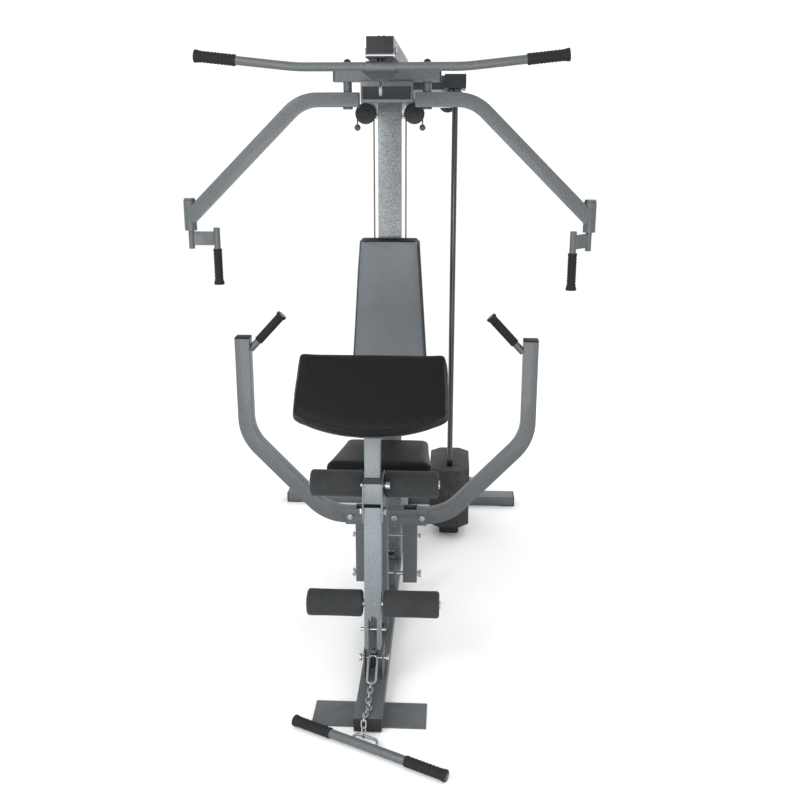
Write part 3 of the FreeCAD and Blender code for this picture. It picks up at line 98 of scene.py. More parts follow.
class Finish:
    # one material and the nodes that make it
    def __init__(self, name):
        self.material = bpy.data.materials.new(name)
        self.material.use_nodes = True
        self.tree = self.material.node_tree
        self.surface = self.tree.nodes["Principled BSDF"]
        self.spot = self.node("ShaderNodeTexCoord", output="Object")

    def plug(self, socket, value):
        if isinstance(value, Wire):
            self.tree.links.new(value.socket, socket)
        else:
            socket.default_value = value

    def node(self, kind, settings=None, values=None, output=0):
        made = self.tree.nodes.new(kind)
        for key, value in (settings or {}).items():
            if key == "stops":
                ramp = made.color_ramp
                while len(ramp.elements) < len(value):
                    ramp.elements.new(0.5)
                for element, (position, level) in zip(ramp.elements, value):
                    element.position = position
                    element.color = (level, level, level, 1)
            else:
                setattr(made, key, value)
        for key, value in (values or {}).items():
            self.plug(made.inputs[key], value)
        return Wire(self, made.outputs[output])

    def noise(self, scale, detail=3.0, roughness=0.55, spot=None):
        values = {"Vector": spot or self.spot, "Scale": scale, "Detail": detail, "Roughness": roughness}
        return self.node("ShaderNodeTexNoise", {}, values)

    def cells(self, scale, feature="SMOOTH_F1"):
        return self.node("ShaderNodeTexVoronoi", {"feature": feature}, {"Vector": self.spot, "Scale": scale})

    def ramp(self, value, stops):
        return self.node("ShaderNodeValToRGB", {"stops": stops}, {0: value})

    def blend(self, mask, first, second):
        # each of the two is a colour or a link
        first, second = (colour + (1,) if isinstance(colour, tuple) else colour for colour in (first, second))
        return self.node("ShaderNodeMix", {"data_type": "RGBA"}, {0: mask, 6: first, 7: second}, output=2)

    def stretched(self, factors):
        return self.node("ShaderNodeMapping", {}, {"Vector": self.spot, "Scale": factors})

    def bump(self, height, strength, distance):
        normal = self.node("ShaderNodeBump", {}, {"Height": height, "Strength": strength, "Distance": distance})
        self.plug(self.surface.inputs["Normal"], normal)

    def set(self, **values):
        for key, value in values.items():
            self.plug(self.surface.inputs[key.replace("_", " ")], value)
        return self


# finishes

paintShades = {
    "framePaint": {"dark": (0.056, 0.063, 0.068), "light": (0.098, 0.109, 0.117), "metal": 0.30, "rough": 0.44},
    # this shade is the frame paint made lighter: painted light from the front on the curl post, leg lever and front
    # post
    "frontPaint": {"dark": (0.098, 0.114, 0.124), "light": (0.150, 0.172, 0.186), "metal": 0.30, "rough": 0.42},
    "uprightPaint": {"dark": (0.062, 0.070, 0.076), "light": (0.210, 0.228, 0.242), "metal": 0.60, "rough": 0.30},
    # this shade is the frame paint made much darker: painted shade for the boom's underside, the stack's top frame
    # and the lat hanger's gusset
    "boomPaint": {"dark": (0.014, 0.016, 0.018), "light": (0.024, 0.027, 0.030), "metal": 0.10, "rough": 0.55},
}
vinylShades = {
    "padVinyl": {"dark": (0.0025, 0.0026, 0.0030), "light": (0.0050, 0.0053, 0.0060), "rough": 0.42, "gloss": 0.14},
    # this shade is the black vinyl made light grey: a painted sheen, the front light's reflection on the backrest's
    # upright face
    "backVinyl": {"dark": (0.072, 0.082, 0.092), "light": (0.120, 0.134, 0.148), "rough": 0.36, "gloss": 0.45},
    "seamVinyl": {"dark": (0.010, 0.011, 0.012), "light": (0.020, 0.021, 0.023), "rough": 0.30, "gloss": 0.60},
}
plasticShades = {
    "capPlastic": {"dark": (0.012, 0.012, 0.013), "light": (0.030, 0.031, 0.033), "rough": 0.42},
    "gripRubber": {"dark": (0.007, 0.007, 0.008), "light": (0.016, 0.016, 0.017), "rough": 0.58},
    "wheelNylon": {"dark": (0.012, 0.012, 0.013), "light": (0.026, 0.027, 0.028), "rough": 0.30},
}
platings = {
    "zincPlate": {"base": (0.40, 0.41, 0.43), "rough": 0.26, "streaks": (200, 200, 200)},
    "rodChrome": {"base": (0.075, 0.080, 0.090), "rough": 0.10, "streaks": (90, 90, 4)},
}


def hammeredPaint(name, shade):
    finish = Finish(name)
    dimples = finish.cells(230)
    pools = finish.noise(420, 2)
    clouds = finish.noise(5, 2)
    scuffs = finish.ramp(finish.noise(38, 6, 0.7), ((0.60, 0), (0.74, 1)))
    mask = finish.ramp(dimples * 0.9 + pools * 0.5, ((0.30, 0), (0.75, 1)))
    colour = finish.blend(mask, shade["dark"], shade["light"])
    colour = finish.blend(clouds * 0.25, colour, shade["light"])
    colour = finish.blend(scuffs * 0.05, colour, (0.30, 0.31, 0.32))
    finish.bump(dimples + pools * 0.4, 0.35, 0.0007)
    return finish.set(Base_Color=colour, Metallic=shade["metal"], Coat_Weight=0.15,
                      Roughness=shade["rough"] + pools * 0.10 + scuffs * 0.08).material


def grainedVinyl(name, shade):
    finish = Finish(name)
    pebbles = finish.cells(620)
    creases = finish.cells(310, feature="DISTANCE_TO_EDGE")
    clouds = finish.noise(7, 4)
    dust = finish.ramp(finish.noise(60, 5, 0.7), ((0.55, 0), (0.85, 1)))
    colour = finish.blend(clouds, shade["dark"], shade["light"])
    colour = finish.blend(dust * 0.02, colour, (0.20, 0.20, 0.20))
    finish.bump(pebbles * 0.7 + finish.ramp(creases, ((0.0, 0), (0.12, 1))) * 0.6, 0.30, 0.0004)
    return finish.set(Base_Color=colour, Roughness=shade["rough"] + clouds * 0.10 + pebbles * 0.05,
                      Specular_IOR_Level=shade["gloss"]).material


def cellFoam(name):
    finish = Finish(name)
    pores = finish.cells(520)
    lumps = finish.noise(38, 4)
    rubbed = finish.ramp(finish.noise(11, 3), ((0.42, 0), (0.72, 1)))
    mask = finish.ramp(pores, ((0.15, 0), (0.62, 1)))
    colour = finish.blend(mask, (0.010, 0.011, 0.012), (0.030, 0.033, 0.035))
    colour = finish.blend(rubbed * 0.25, colour, (0.045, 0.047, 0.049))
    finish.bump(pores * 0.8 + lumps * 0.5, 0.45, 0.0011)
    return finish.set(Base_Color=colour, Roughness=0.82 + lumps * 0.14, Specular_IOR_Level=0.3,
                      Sheen_Weight=0.05).material


def mouldedPlastic(name, shade):
    finish = Finish(name)
    grain = finish.noise(900, 3)
    marks = finish.noise(24, 5, 0.65)
    colour = finish.blend(marks, shade["dark"], shade["light"])
    finish.bump(grain, 0.18, 0.0002)
    return finish.set(Base_Color=colour, Roughness=shade["rough"] + marks * 0.14 + grain * 0.06,
                      Specular_IOR_Level=0.22).material


def platedSteel(name, plating):
    finish = Finish(name)
    lines = finish.noise(1, 4, 0.6, finish.stretched(plating["streaks"]))
    spots = finish.ramp(finish.noise(140, 5, 0.7), ((0.58, 0), (0.80, 1)))
    base = plating["base"]
    colour = finish.blend(lines * 0.6, base, tuple(0.72 * level for level in base))
    colour = finish.blend(spots * 0.20, colour, tuple(0.5 * level for level in base))
    finish.bump(lines, 0.06, 0.0002)
    return finish.set(Base_Color=colour, Metallic=1.0,
                      Roughness=plating["rough"] + lines * 0.12 + spots * 0.18).material


def castIron(name):
    finish = Finish(name)
    sand = finish.noise(260, 6, 0.7)
    lumps = finish.noise(36, 4)
    rubbed = finish.ramp(finish.noise(15, 5, 0.65), ((0.48, 0), (0.70, 1)))
    colour = finish.blend(rubbed * 0.5 + sand * 0.2, (0.020, 0.020, 0.021), (0.075, 0.074, 0.072))
    finish.bump(sand + lumps * 0.6, 0.55, 0.0009)
    return finish.set(Base_Color=colour, Roughness=0.52 + sand * 0.25, Metallic=0.15,
                      Specular_IOR_Level=0.3).material


def stainedBoard(name):
    finish = Finish(name)
    fibres = finish.noise(1, 5, 0.6, finish.stretched((420, 420, 30)))
    plies = finish.noise(60, 3)
    colour = finish.blend(fibres, (0.014, 0.013, 0.012), (0.055, 0.048, 0.040))
    finish.bump(fibres + plies * 0.3, 0.25, 0.0004)
    return finish.set(Base_Color=colour, Roughness=0.66 + fibres * 0.18).material


def coatedCable(name):
    finish = Finish(name)
    strands = finish.node("ShaderNodeTexWave", {"bands_direction": "DIAGONAL"},
                          {"Vector": finish.spot, "Scale": 160.0, "Distortion": 1.0})
    rubbed = finish.noise(30, 4)
    colour = finish.blend(strands * 0.4 + rubbed * 0.3, (0.016, 0.016, 0.017), (0.085, 0.087, 0.090))
    finish.bump(strands, 0.20, 0.0003)
    return finish.set(Base_Color=colour, Roughness=0.30 + rubbed * 0.2, Coat_Weight=0.4).material


shadedFinishes = ((hammeredPaint, paintShades), (grainedVinyl, vinylShades), (mouldedPlastic, plasticShades),
                  (platedSteel, platings))
finishes = {name: make(name, shade) for make, shades in shadedFinishes for name, shade in shades.items()}
for name, make in (("rollerFoam", cellFoam), ("plateIron", castIron), ("padBoard", stainedBoard),
                   ("cableCoat", coatedCable)):
    finishes[name] = make(name)
print("finishes are mixed")


# tools for pieces

def pickOnly(piece):
    bpy.ops.object.select_all(action="DESELECT")
    piece.select_set(True)
    bpy.context.view_layer.objects.active = piece


def applyModifier(piece, kind, **settings):
    modifier = piece.modifiers.new(kind.title(), kind)
    for key, value in settings.items():
        setattr(modifier, key, value)
    pickOnly(piece)
    bpy.ops.object.modifier_apply(modifier=modifier.name)


copyRules = {"merge": 0.00002, "flat": 0.6}


def bevelled(piece, width, segments, angle):
    applyModifier(piece, "BEVEL", width=width, segments=segments, limit_method="ANGLE",
                  angle_limit=math.radians(angle), use_clamp_overlap=True)


def nodeCopy(node, name):
    # a merged copy of a CAD node's mesh, which stands in the node's place
    piece = bpy.data.objects.new(name, nodes[node].data.copy())
    bpy.context.scene.collection.objects.link(piece)
    pickOnly(piece)
    bpy.ops.object.mode_set(mode="EDIT")
    bpy.ops.mesh.select_all(action="SELECT")
    bpy.ops.mesh.remove_doubles(threshold=copyRules["merge"])
    bpy.ops.mesh.dissolve_limited(angle_limit=math.radians(copyRules["flat"]))
    bpy.ops.object.mode_set(mode="OBJECT")
    return piece


def wear(piece, finish, body, *replaced):
    # the piece's materials are cleared and its finish put on, it joins its body, and the nodes it stands in for are
    # hidden
    piece.data.materials.clear()
    piece.data.materials.append(finishes[finish])
    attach(piece, body)
    if replaced:
        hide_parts(*replaced)


def wearPart(piece, finish, test):
    # a second finish on the faces that pass the test
    piece.data.materials.append(finishes[finish])
    slot = len(piece.data.materials) - 1
    for face in piece.data.polygons:
        if test(face):
            face.material_index = slot


def smooth(piece, angle=38):
    pickOnly(piece)
    bpy.ops.object.shade_smooth_by_angle(angle=math.radians(angle))


def lathe(name, profile, segments=40):
    # rings of (radius, height) about Z, each one extruded from the last; equal first and last rings close it
    radius, height = profile[0]
    bpy.ops.object.select_all(action="DESELECT")
    bpy.ops.mesh.primitive_circle_add(vertices=segments, radius=radius, location=(0, 0, height))
    piece = bpy.context.object
    piece.name = name
    bpy.ops.object.transform_apply(location=True, rotation=True, scale=True)
    bpy.ops.object.mode_set(mode="EDIT")
    bpy.ops.mesh.select_all(action="SELECT")
    for nextRadius, nextHeight in profile[1:]:
        bpy.ops.mesh.extrude_region_move(TRANSFORM_OT_translate={"value": (0, 0, nextHeight - height)})
        factor = nextRadius / radius
        bpy.ops.transform.resize(value=(factor, factor, 1), center_override=(0, 0, nextHeight))
        radius, height = nextRadius, nextHeight
    bpy.ops.mesh.select_all(action="SELECT")
    bpy.ops.mesh.remove_doubles(threshold=0.00001)
    bpy.ops.mesh.normals_make_consistent(inside=False)
    bpy.ops.object.mode_set(mode="OBJECT")
    return piece


def placed(piece, name, start, heading):
    # a copy of a piece that was made about Z, with its foot at start and its axis along heading
    copy = bpy.data.objects.new(name, piece.data.copy())
    bpy.context.scene.collection.objects.link(copy)
    turn = Vector((0, 0, 1)).rotation_difference(Vector(heading)).to_matrix().to_4x4()
    copy.data.transform(Matrix.Translation(Vector(start)) @ turn)
    return copy


def joined(name, pieces):
    bpy.ops.object.select_all(action="DESELECT")
    for piece in pieces:
        piece.select_set(True)
    bpy.context.view_layer.objects.active = pieces[0]
    bpy.ops.object.join()
    pieces[0].name = name
    return pieces[0]


def discard(piece):
    bpy.data.objects.remove(piece, do_unlink=True)


# steel frame: every tube and plate gets its rolled or ground edges

# radii are in millimetres
edgeRadii = {
    "framePaint": {
        "base_rail": 4.0, "foot_plate": 0.8, "rear_frame": 4.0, "cross_beam": 3.5, "pec_arm_left": 4.0,
        "pec_arm_right": 4.0, "handle_left": 1.2, "handle_right": 1.2, "press_frame": 3.0, "press_arm_left": 4.0,
        "press_arm_right": 4.0, "base_brackets": 1.0, "seat_frame": 3.5, "lat_bar": 0.8, "low_bar": 0.8,
        "pec_pivot_pins": 1.0},
    # the boom, the stack's top frame and the lat hanger wear the darkened frame paint, which is painted shade
    "boomPaint": {"top_boom": 4.0, "stack_top_frame": 3.5, "lat_hanger": 0.8},
    "uprightPaint": {"upright": 4.0},
    # the curl post, leg lever and front post wear the lightened frame paint, which is painted light from the front
    "frontPaint": {"curl_post": 3.5, "leg_lever": 4.0, "front_post": 1.5},
    "capPlastic": {"floor_caps": 1.5, "frame_caps": 1.5},
    "wheelNylon": {
        "boom_wheel_front": 1.2, "boom_wheel_rear": 1.2, "low_wheel": 1.2, "base_wheel": 1.2, "top_wheels": 1.2,
        "block_wheels": 1.2, "butterfly_wheels": 1.2},
    "zincPlate": {
        "press_bolts": 0.8, "pull_pin": 1.2, "lower_roller_tube": 0.8, "upper_roller_tube": 0.8,
        "axle_bolts": 0.6, "pulley_brackets": 0.6, "hook_and_chain": 0.0, "selector_pin": 1.0},
    "rodChrome": {"guide_rods": 0.8},
    "plateIron": {"resting_plates": 1.5, "lifted_plates": 1.5, "stack_head": 1.5},
    "padBoard": {"pad_boards": 2.0, "curl_board": 2.0},
    "cableCoat": {"main_cable": 0.0, "low_cable": 0.0, "butterfly_cables": 0.0, "stack_cable_drop": 0.0},
}


def finishedNode(node, finish, radius):
    piece = nodeCopy(node, node + "_finished")
    if radius:
        bevelled(piece, radius / 1000, 3, 42)
    smooth(piece)
    wear(piece, finish, bodyOfNode[node], node)
    return piece


finished = {}
for finishName, radii in edgeRadii.items():
    for nodeName, radius in radii.items():
        finished[nodeName] = finishedNode(nodeName, finishName, radius)

# heights where a piece changes finish
splitHeights = {"pivotCap": 1.853, "hangerRing": 1.772, "hangerSleeve": 1.812, "armWheelBolt": (1.68, 1.72)}
wearPart(finished["pec_pivot_pins"], "capPlastic", lambda face: face.center.z > splitHeights["pivotCap"])
# the hanger's gusset, between its ring and its sleeve, keeps the darkened paint as painted shade under the bar
wearPart(finished["lat_hanger"], "zincPlate", lambda face: face.center.z < splitHeights["hangerRing"])
wearPart(finished["lat_hanger"], "framePaint", lambda face: face.center.z > splitHeights["hangerSleeve"])
wearPart(finished["axle_bolts"], "capPlastic",
         lambda face: splitHeights["armWheelBolt"][0] < face.center.z < splitHeights["armWheelBolt"][1])

# the low bar's own tube, seen from above, so that the loops beside it can be told apart
barAxis = {"place": (0.0065, -1.1295), "heading": (0.8924, -0.4513), "radius": 0.0135}


def isLoop(face):
    away = Vector(face.center[:2]) - Vector(barAxis["place"])
    heading = Vector(barAxis["heading"])
    return abs(away.x * heading.y - away.y * heading.x) > barAxis["radius"]


wearPart(finished["low_bar"], "zincPlate", isLoop)


def shortenCable(node, joint):
    # the run above the weights gets its own copy of its mesh; the share to keep is worked out from the joint's
    # travel and passed on, but nothing makes the run shorter
    low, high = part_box(node)
    limits = [limit for item in frame["joints"] if item["name"] == joint for limit in item["range_m"]]
    travel = max(abs(limit) for limit in limits)
    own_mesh(finished[node], joint, axis=(0, 0, 1), anchor=tuple(low), keep=1 - travel / (high[2] - low[2]))


shortenCable("stack_cable_drop", "weight_lift")
print("steel frame is finished")


# rubber grips

gripShape = {
    "length": 0.124, "segments": 40, "core": 0.0005, "footEdge": (0.0010, 0.0012), "footHeight": 0.008,
    "ribs": 9, "ribDepth": 0.0011, "firstRib": 0.010, "lastRib": 0.86,
    "rib": ((0.00, 0), (0.18, 1), (0.45, 1), (0.62, 0)),  # shares of the pitch and of the depth
    "neck": 0.88, "flare": ((0.93, 0.0006), (0.95, 0), (0.985, 0), (1, 0.0012)),  # share of the length, and drop
    "endRing": 0.0005,
}
gripKinds = {
    "pec_grip_left": {"bore": 0.011, "radius": 0.015, "flare": 0.018, "hangs": True},
    "pec_grip_right": {"bore": 0.011, "radius": 0.015, "flare": 0.018, "hangs": True},
    "lat_grips": {"bore": 0.013, "radius": 0.017, "flare": 0.019, "hangs": False},
    "low_grips": {"bore": 0.0125, "radius": 0.015, "flare": 0.0165, "hangs": False},
}
axisSearch = {"start": (1, 0.3, 0.2), "rounds": 60}


def ribbedGrip(bore, radius, flare):
    length = gripShape["length"]
    inward, upward = gripShape["footEdge"]
    profile = [(bore, 0.0), (radius - inward, 0.0), (radius, upward), (radius, gripShape["footHeight"])]
    start, end = gripShape["firstRib"], length * gripShape["lastRib"]
    pitch = (end - start) / gripShape["ribs"]
    for rib in range(gripShape["ribs"]):
        foot = start + rib * pitch
        for share, drop in gripShape["rib"]:
            profile.append((radius - drop * gripShape["ribDepth"], foot + share * pitch))
    profile.append((radius, length * gripShape["neck"]))
    profile += [(flare - drop, length * share) for share, drop in gripShape["flare"]]
    profile += [(bore, length), (gripShape["core"], length)]
    return lathe("grip_pattern", profile, gripShape["segments"])


def gripAt(pattern, name, end, heading):
    grip = placed(pattern, name, end - heading * gripShape["length"], heading)
    smooth(grip, 50)
    return grip


def axisOf(points):
    # the axis of a turned solid is its points' longest spread, and each round turns the guess closer to it
    middle = sum(points, Vector()) / len(points)
    spread = Matrix([[sum((p[a] - middle[a]) * (p[b] - middle[b]) for p in points) for b in range(3)]
                     for a in range(3)])
    heading = Vector(axisSearch["start"]).normalized()
    for step in range(axisSearch["rounds"]):
        heading = (spread @ heading).normalized()
    return heading


def gripsFor(node, kind):
    # one rubber grip for each side that the node has, with its flared end down or outward
    pattern = ribbedGrip(kind["bore"], kind["radius"], kind["flare"])
    grips = []
    for side in (-1, 1):
        points = [vertex.co for vertex in nodes[node].data.vertices if vertex.co.x * side > 0]
        if not points:
            continue
        outward = Vector((0, 0, -1)) if kind["hangs"] else Vector((side, 0, 0))
        heading = axisOf(points)
        if heading.dot(outward) < 0:
            heading = -heading
        reach = max(point.dot(heading) for point in points)
        ring = [point for point in points if point.dot(heading) > reach - gripShape["endRing"]]
        centre = sum(ring, Vector()) / len(ring)
        grips.append(gripAt(pattern, "%s_%d" % (node, side + 1), centre, heading))
    discard(pattern)
    grip = joined(node + "_ribbed", grips)
    wear(grip, "gripRubber", bodyOfNode[node], node)


for nodeName, kind in gripKinds.items():
    gripsFor(nodeName, kind)
print("grips are ribbed")


# foam rollers

rollerShape = {
    "segments": 56, "bore": 0.0123, "inner": 0.031, "outer": {"lower_rollers": 0.197, "upper_rollers": 0.190},
    "round": 0.009, "roundSteps": 6, "roundTurn": 18, "dish": 0.0025, "lip": 0.0006, "lipInset": 1.6,
    "waist": 0.0006, "waistPlaces": (0.25, 0.5, 0.75),
}


def foamRoller(node, outer, shape):
    low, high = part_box(node)
    y, z = (low[1] + high[1]) / 2, (low[2] + high[2]) / 2
    radius = (high[2] - low[2]) / 2
    length = outer - shape["inner"]
    edge = shape["round"]
    end = [(shape["bore"], shape["dish"]), (radius - edge * shape["lipInset"], shape["lip"])]
    for step in range(shape["roundSteps"]):
        angle = math.radians(step * shape["roundTurn"])
        end.append((radius - edge + edge * math.sin(angle), edge - edge * math.cos(angle)))
    middle = [(radius - shape["waist"] * math.sin(share * math.pi), edge + (length - 2 * edge) * share)
              for share in shape["waistPlaces"]]
    profile = end + middle + [(r, length - h) for r, h in reversed(end)] + end[:1]
    pattern = lathe("roller_pattern", profile, shape["segments"])
    rollers = [placed(pattern, "roller", (side * shape["inner"], y, z), (side, 0, 0)) for side in (-1, 1)]
    discard(pattern)
    roller = joined(node + "_foam", rollers)
    smooth(roller, 60)
    wear(roller, "rollerFoam", bodyOfNode[node], node)


for nodeName, outer in rollerShape["outer"].items():
    foamRoller(nodeName, outer, rollerShape)
print("rollers are foamed")


# vinyl pads

padShapes = {
    # the backrest's face wears the grey vinyl with the painted sheen
    "backrest_pad": {"finish": "backVinyl", "board": (0, 1, 0), "edge": 0.013, "cap": 0.004, "seam": 0.012,
                     "corner": (0.018, 0.020), "taper": 0.041},
    "seat_pad": {"finish": "padVinyl", "board": (0, 0.1392, -0.9903), "edge": 0.014, "cap": 0.005, "seam": 0.014,
                 "corner": (0.030, 0.030), "taper": 0},
    "curl_pad": {"finish": "padVinyl", "board": (0, 0.7660, -0.6428), "edge": 0.013, "cap": 0.004, "seam": 0.013,
                 "corner": (0.036, 0.014), "taper": 0},
}
coverShape = {
    "inset": 0.0015, "voxel": 0.005, "pipe": 0.0026, "pipeMerge": 0.0015, "crown": 0.004, "held": 0.005,
    "fill": 0.95, "band": "padVinyl", "bandWidth": 0.009, "sideTurn": -0.3,
}
clothShape = {
    "quality": 5, "mass": 0.3, "tension_stiffness": 30, "compression_stiffness": 30, "shear_stiffness": 15,
    "bending_stiffness": 6, "use_pressure": True, "uniform_pressure_force": 4,
}
clothFrames = 20
cornerTest = {"length": 0.01, "square": 0.97, "sharp": 25, "segments": 6}


def pressed(piece, boardPlane, boardNormal, cap):
    # air pressure inside the cover, with the board side held
    held = piece.vertex_groups.new(name="held")
    start = [v.co.copy() for v in piece.data.vertices]
    low = [v.index for v in piece.data.vertices if boardPlane - v.co.dot(boardNormal) < coverShape["held"]]
    held.add(low, 1.0, "REPLACE")
    cloth = piece.modifiers.new("Cloth", "CLOTH")
    for key, value in clothShape.items():
        setattr(cloth.settings, key, value)
    cloth.settings.effector_weights.gravity = 0
    cloth.settings.vertex_group_mass = held.name
    for step in range(1, clothFrames + 1):
        bpy.context.scene.frame_set(step)
    pickOnly(piece)
    bpy.ops.object.modifier_apply(modifier=cloth.name)
    for vertex, before in zip(piece.data.vertices, start):
        move = vertex.co - before
        if move.length > cap:
            vertex.co = before + move * (cap / move.length)
    bpy.context.scene.frame_set(1)


def piping(cover, node, normal, plane, shape):
    # a sewn cord round the finished cover, on the line where its face meets its side
    cord = bpy.data.objects.new(node + "_piping", cover.data.copy())
    bpy.context.scene.collection.objects.link(cord)
    pickOnly(cord)
    bpy.ops.object.mode_set(mode="EDIT")
    bpy.ops.mesh.select_all(action="SELECT")
    bpy.ops.mesh.bisect(plane_co=normal * (plane - shape["seam"]), plane_no=normal, clear_inner=True,
                        clear_outer=True)
    bpy.ops.mesh.select_all(action="SELECT")
    bpy.ops.mesh.remove_doubles(threshold=coverShape["pipeMerge"])
    bpy.ops.object.mode_set(mode="OBJECT")
    bpy.ops.object.convert(target="CURVE")
    cord = bpy.context.object
    cord.data.bevel_depth = coverShape["pipe"]
    cord.data.bevel_resolution = 2
    bpy.ops.object.convert(target="MESH")
    cord = bpy.context.object
    cord.data.materials.clear()
    smooth(cord, 60)
    wear(cord, "seamVinyl", bodyOfNode[node])


def roundCorners(piece, normal, shape):
    # the cover's corners, seen from the front, are rounded before its edges are
    low = min(v.co.z for v in piece.data.vertices)
    high = max(v.co.z for v in piece.data.vertices)
    for part, width in zip(("lower", "upper"), shape["corner"]):
        pickOnly(piece)
        bpy.ops.object.mode_set(mode="EDIT")
        mesh = bmesh.from_edit_mesh(piece.data)
        for item in list(mesh.faces) + list(mesh.edges) + list(mesh.verts):
            item.select = False
        for edge in mesh.edges:
            along = edge.verts[1].co - edge.verts[0].co
            middle = (edge.verts[0].co + edge.verts[1].co) / 2
            isPart = (middle.z < (low + high) / 2) == (part == "lower")
            straight = (along.length > cornerTest["length"]
                        and abs(along.normalized().dot(normal)) > cornerTest["square"])
            sharp = (len(edge.link_faces) == 2
                     and edge.calc_face_angle(0) > math.radians(cornerTest["sharp"]))
            if isPart and straight and sharp:
                edge.select = True
        mesh.select_flush_mode()
        bmesh.update_edit_mesh(piece.data)
        bpy.ops.mesh.bevel(offset=width, segments=cornerTest["segments"], affect="EDGES", clamp_overlap=True)
        bpy.ops.object.mode_set(mode="OBJECT")


def isBand(face, normal, low, high, taper):
    # the side band starts a set width inside the cover's tapered outline
    width = coverShape["bandWidth"]
    centre = face.center
    half = high[0] - taper * (centre.z - low[2]) / (high[2] - low[2]) - width
    outside = abs(centre.x) > half or not low[2] + width < centre.z < high[2] - width
    return outside or face.normal.dot(normal) > coverShape["sideTurn"]


def crowned(piece, node, normal, boardPlane, facePlane):
    # the face rises towards its middle, and nothing goes past the board
    low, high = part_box(node)
    middle = (Vector(low) + Vector(high)) / 2
    half = (Vector(high) - Vector(low)) / 2
    for vertex in piece.data.vertices:
        across = abs((vertex.co.x - middle.x) / half.x)
        along = abs((vertex.co.z - middle.z) / half.z)
        depth = (boardPlane - vertex.co.dot(normal)) / (boardPlane - facePlane)
        rise = coverShape["crown"] * max(0.0, 1 - across ** 2) * max(0.0, 1 - along ** 2) * max(0.0, depth)
        vertex.co -= normal * rise
        over = vertex.co.dot(normal) - boardPlane
        if over > 0:
            vertex.co -= normal * over


def pad(node, shape):
    piece = nodeCopy(node, node + "_vinyl")
    normal = Vector(shape["board"]).normalized()
    boardPlane = max(v.co.dot(normal) for v in piece.data.vertices)
    facePlane = min(v.co.dot(normal) for v in piece.data.vertices)
    pickOnly(piece)
    bpy.ops.object.mode_set(mode="EDIT")
    bpy.ops.mesh.select_all(action="SELECT")
    bpy.ops.transform.shrink_fatten(value=-coverShape["inset"], use_even_offset=True)
    bpy.ops.object.mode_set(mode="OBJECT")
    roundCorners(piece, normal, shape)
    bevelled(piece, shape["edge"], 5, 30)
    applyModifier(piece, "REMESH", mode="VOXEL", voxel_size=coverShape["voxel"])
    pressed(piece, boardPlane, normal, shape["cap"])
    applyModifier(piece, "SMOOTH", factor=0.5, iterations=6)
    crowned(piece, node, normal, boardPlane, facePlane)
    applyModifier(piece, "SUBSURF", levels=1, render_levels=1)
    smooth(piece, 180)
    wear(piece, shape["finish"], bodyOfNode[node], node)
    piping(piece, node, normal, boardPlane, shape)
    low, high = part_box(node)
    # on the backrest the band puts the sides back in the plain black vinyl, so only the face keeps the painted sheen
    wearPart(piece, coverShape["band"], lambda face: isBand(face, normal, low, high, shape["taper"]))


for nodeName, shape in padShapes.items():
    pad(nodeName, shape)
print("pads are filled")


# black end caps of the press arms, which share a node with their grips

def pressEnds():
    piece = nodeCopy("press_grips", "press_grips_finished")
    bevelled(piece, 0.001, 2, 42)
    smooth(piece)
    wear(piece, "gripRubber", bodyOfNode["press_grips"], "press_grips")


pressEnds()


# hex nuts and washers

# place of the bolt's middle, half its reach, and its radius, for a nut on each end
hardware = {
    "boom_front": (0, -0.382, 1.872, 0.0400, 0.0060), "boom_rear": (0, 0.3615, 1.872, 0.0400, 0.0060),
    "low_ears": (0, -0.8005, 0.0945, 0.0380, 0.0060), "base_ears": (0, 0.3645, 0.0945, 0.0380, 0.0060),
    "press_pivot": (0, -0.225, 0.095, 0.1160, 0.0080), "press_rest": (0, -0.225, 0.245, 0.1160, 0.0050),
    "lever_pivot": (0, -0.797, 0.572, 0.0290, 0.0080),
}
boomStuds = {"x": (-0.004, 0.011), "y": -0.412, "z": 1.9095, "radius": 0.0032, "washer": 1.3}
# the first three are shares of the bolt's radius, and bevel is a share of the nut's height
nutShape = {"radius": 1.75, "washer": 2.1, "height": 0.95, "bevel": 0.12,
            "washerHeight": 0.0016, "washerEdge": 0.0003, "core": 0.0005}


def hexNut(radius, washerRadius, height):
    rise, edge, core = nutShape["washerHeight"], nutShape["washerEdge"], nutShape["core"]
    bpy.ops.object.select_all(action="DESELECT")
    bpy.ops.mesh.primitive_cylinder_add(vertices=6, radius=radius, depth=height,
                                        location=(0, 0, rise + height / 2))
    nut = bpy.context.object
    bpy.ops.object.transform_apply(location=True, rotation=True, scale=True)
    bevelled(nut, height * nutShape["bevel"], 2, 30)
    washer = lathe("washer", [(core, 0), (washerRadius, 0), (washerRadius, rise - edge), (washerRadius - edge, rise),
                              (core, rise), (core, 0)], 32)
    return joined("nut_pattern", [nut, washer])


def fitNuts():
    pieces = []
    for name, (x, y, z, half, radius) in hardware.items():
        pattern = hexNut(*(radius * nutShape[share] for share in ("radius", "washer", "height")))
        pieces += [placed(pattern, name, (side * half, y, z), (side, 0, 0)) for side in (-1, 1)]
        discard(pattern)
    studs = boomStuds
    pattern = hexNut(studs["radius"], studs["radius"] * studs["washer"], studs["radius"])
    pieces += [placed(pattern, "boom_stud", (x, studs["y"], studs["z"]), (0, 0, 1)) for x in studs["x"]]
    discard(pattern)
    nuts = joined("frame_nuts", pieces)
    smooth(nuts)
    wear(nuts, "zincPlate", "main_frame")


fitNuts()
print("nuts are on")


# dark panel on the beam's middle block, and the bright bolt under the boom's nose

panelShape = {"width": 0.158, "height": 0.040, "depth": 0.002, "z": 1.764, "edge": 0.0006, "border": 0.004,
              "sink": 0.6, "frontArea": 0.001}
noseBolt = {"radius": 0.0045, "half": 0.043, "y": -0.4335, "z": 1.8575, "head": 1.7, "headHeight": 0.004,
            "neck": 0.0045, "core": 0.0005, "segments": 24}


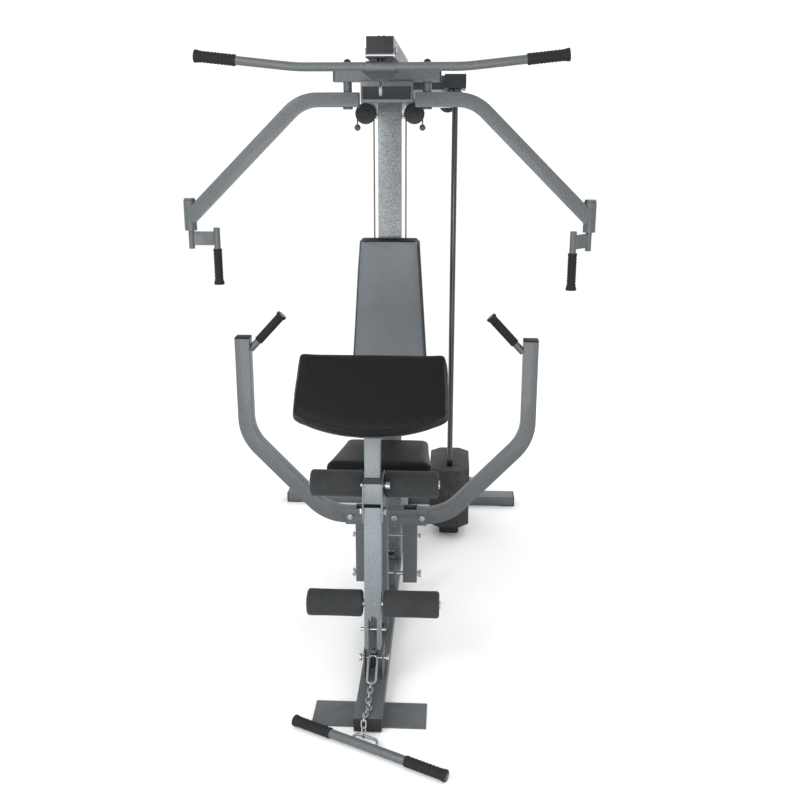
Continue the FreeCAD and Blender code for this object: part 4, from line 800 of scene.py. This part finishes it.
def beamPanel(shape):
    low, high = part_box("cross_beam")
    bpy.ops.object.select_all(action="DESELECT")
    bpy.ops.mesh.primitive_cube_add(size=1, location=(0, low[1] - shape["depth"] / 2, shape["z"]))
    panel = bpy.context.object
    panel.name = "beam_panel"
    panel.scale = (shape["width"], shape["depth"], shape["height"])
    bpy.ops.object.transform_apply(location=True, rotation=True, scale=True)
    bevelled(panel, shape["edge"], 2, 40)
    bpy.ops.object.mode_set(mode="EDIT")
    mesh = bmesh.from_edit_mesh(panel.data)
    for face in mesh.faces:
        face.select = face.normal.y < -0.9 and face.calc_area() > shape["frontArea"]
    bmesh.update_edit_mesh(panel.data)
    bpy.ops.mesh.inset(thickness=shape["border"])
    bpy.ops.transform.translate(value=(0, shape["depth"] * shape["sink"], 0))
    bpy.ops.object.mode_set(mode="OBJECT")
    smooth(panel)
    wear(panel, "capPlastic", "main_frame")


def boltUnderNose(shape):
    half, radius = shape["half"], shape["radius"]
    head = radius * shape["head"]
    end = [(shape["core"], half), (head, half), (head, half - shape["headHeight"]), (radius, half - shape["neck"])]
    pattern = lathe("nose_pattern", [(r, -h) for r, h in end] + end[::-1], shape["segments"])
    bolt = placed(pattern, "nose_bolt", (0, shape["y"], shape["z"]), (1, 0, 0))
    discard(pattern)
    smooth(bolt)
    wear(bolt, "zincPlate", "main_frame")


beamPanel(panelShape)
boltUnderNose(noseBolt)
print("panel and nose bolt are on")


# floor and light

studio = {"world": 1.08, "floorSize": 60, "floorTones": ((0.93, 0.93, 0.93), (0.95, 0.95, 0.95))}
studioLights = {
    "keyLight": {"place": (-1.8, -3.4, 3.0), "target": (0, -0.3, 0.9), "size": (1.6, 1.6), "power": 55},
    "frontLight": {"place": (-0.2, -3.7, 0.6), "target": (0, 0, 0.9), "size": (2.6, 1.2), "power": 40},
    "backLight": {"place": (1.8, 2.8, 2.6), "target": (0, 0, 0.9), "size": (1.6, 1.6), "power": 25},
}


def softLight(name, place, target, size, power):
    bpy.ops.object.light_add(type="AREA", location=place)
    light = bpy.context.object
    light.name = name
    light.data.shape = "RECTANGLE"
    light.data.size, light.data.size_y = size
    light.data.energy = power
    light.rotation_euler = (Vector(target) - Vector(place)).to_track_quat("-Z", "Y").to_euler()
    light.visible_camera = False


def buildStudio():
    scene = bpy.context.scene
    scene.view_settings.view_transform = "Standard"
    world = bpy.data.worlds.new("paleRoom")
    scene.world = world
    world.use_nodes = True
    background = world.node_tree.nodes["Background"]
    background.inputs["Color"].default_value = (1, 1, 1, 1)
    background.inputs["Strength"].default_value = studio["world"]
    bpy.ops.mesh.primitive_plane_add(size=studio["floorSize"], location=(0, 0, 0))
    floor = bpy.context.object
    floor.name = "paleFloor"
    finish = Finish("paleFloor")
    clouds = finish.noise(1.5, 3)
    finish.set(Base_Color=finish.blend(clouds, *studio["floorTones"]), Roughness=0.8 + clouds * 0.1)
    floor.data.materials.append(finish.material)
    for name, light in studioLights.items():
        softLight(name, **light)


buildStudio()
print("studio is lit")
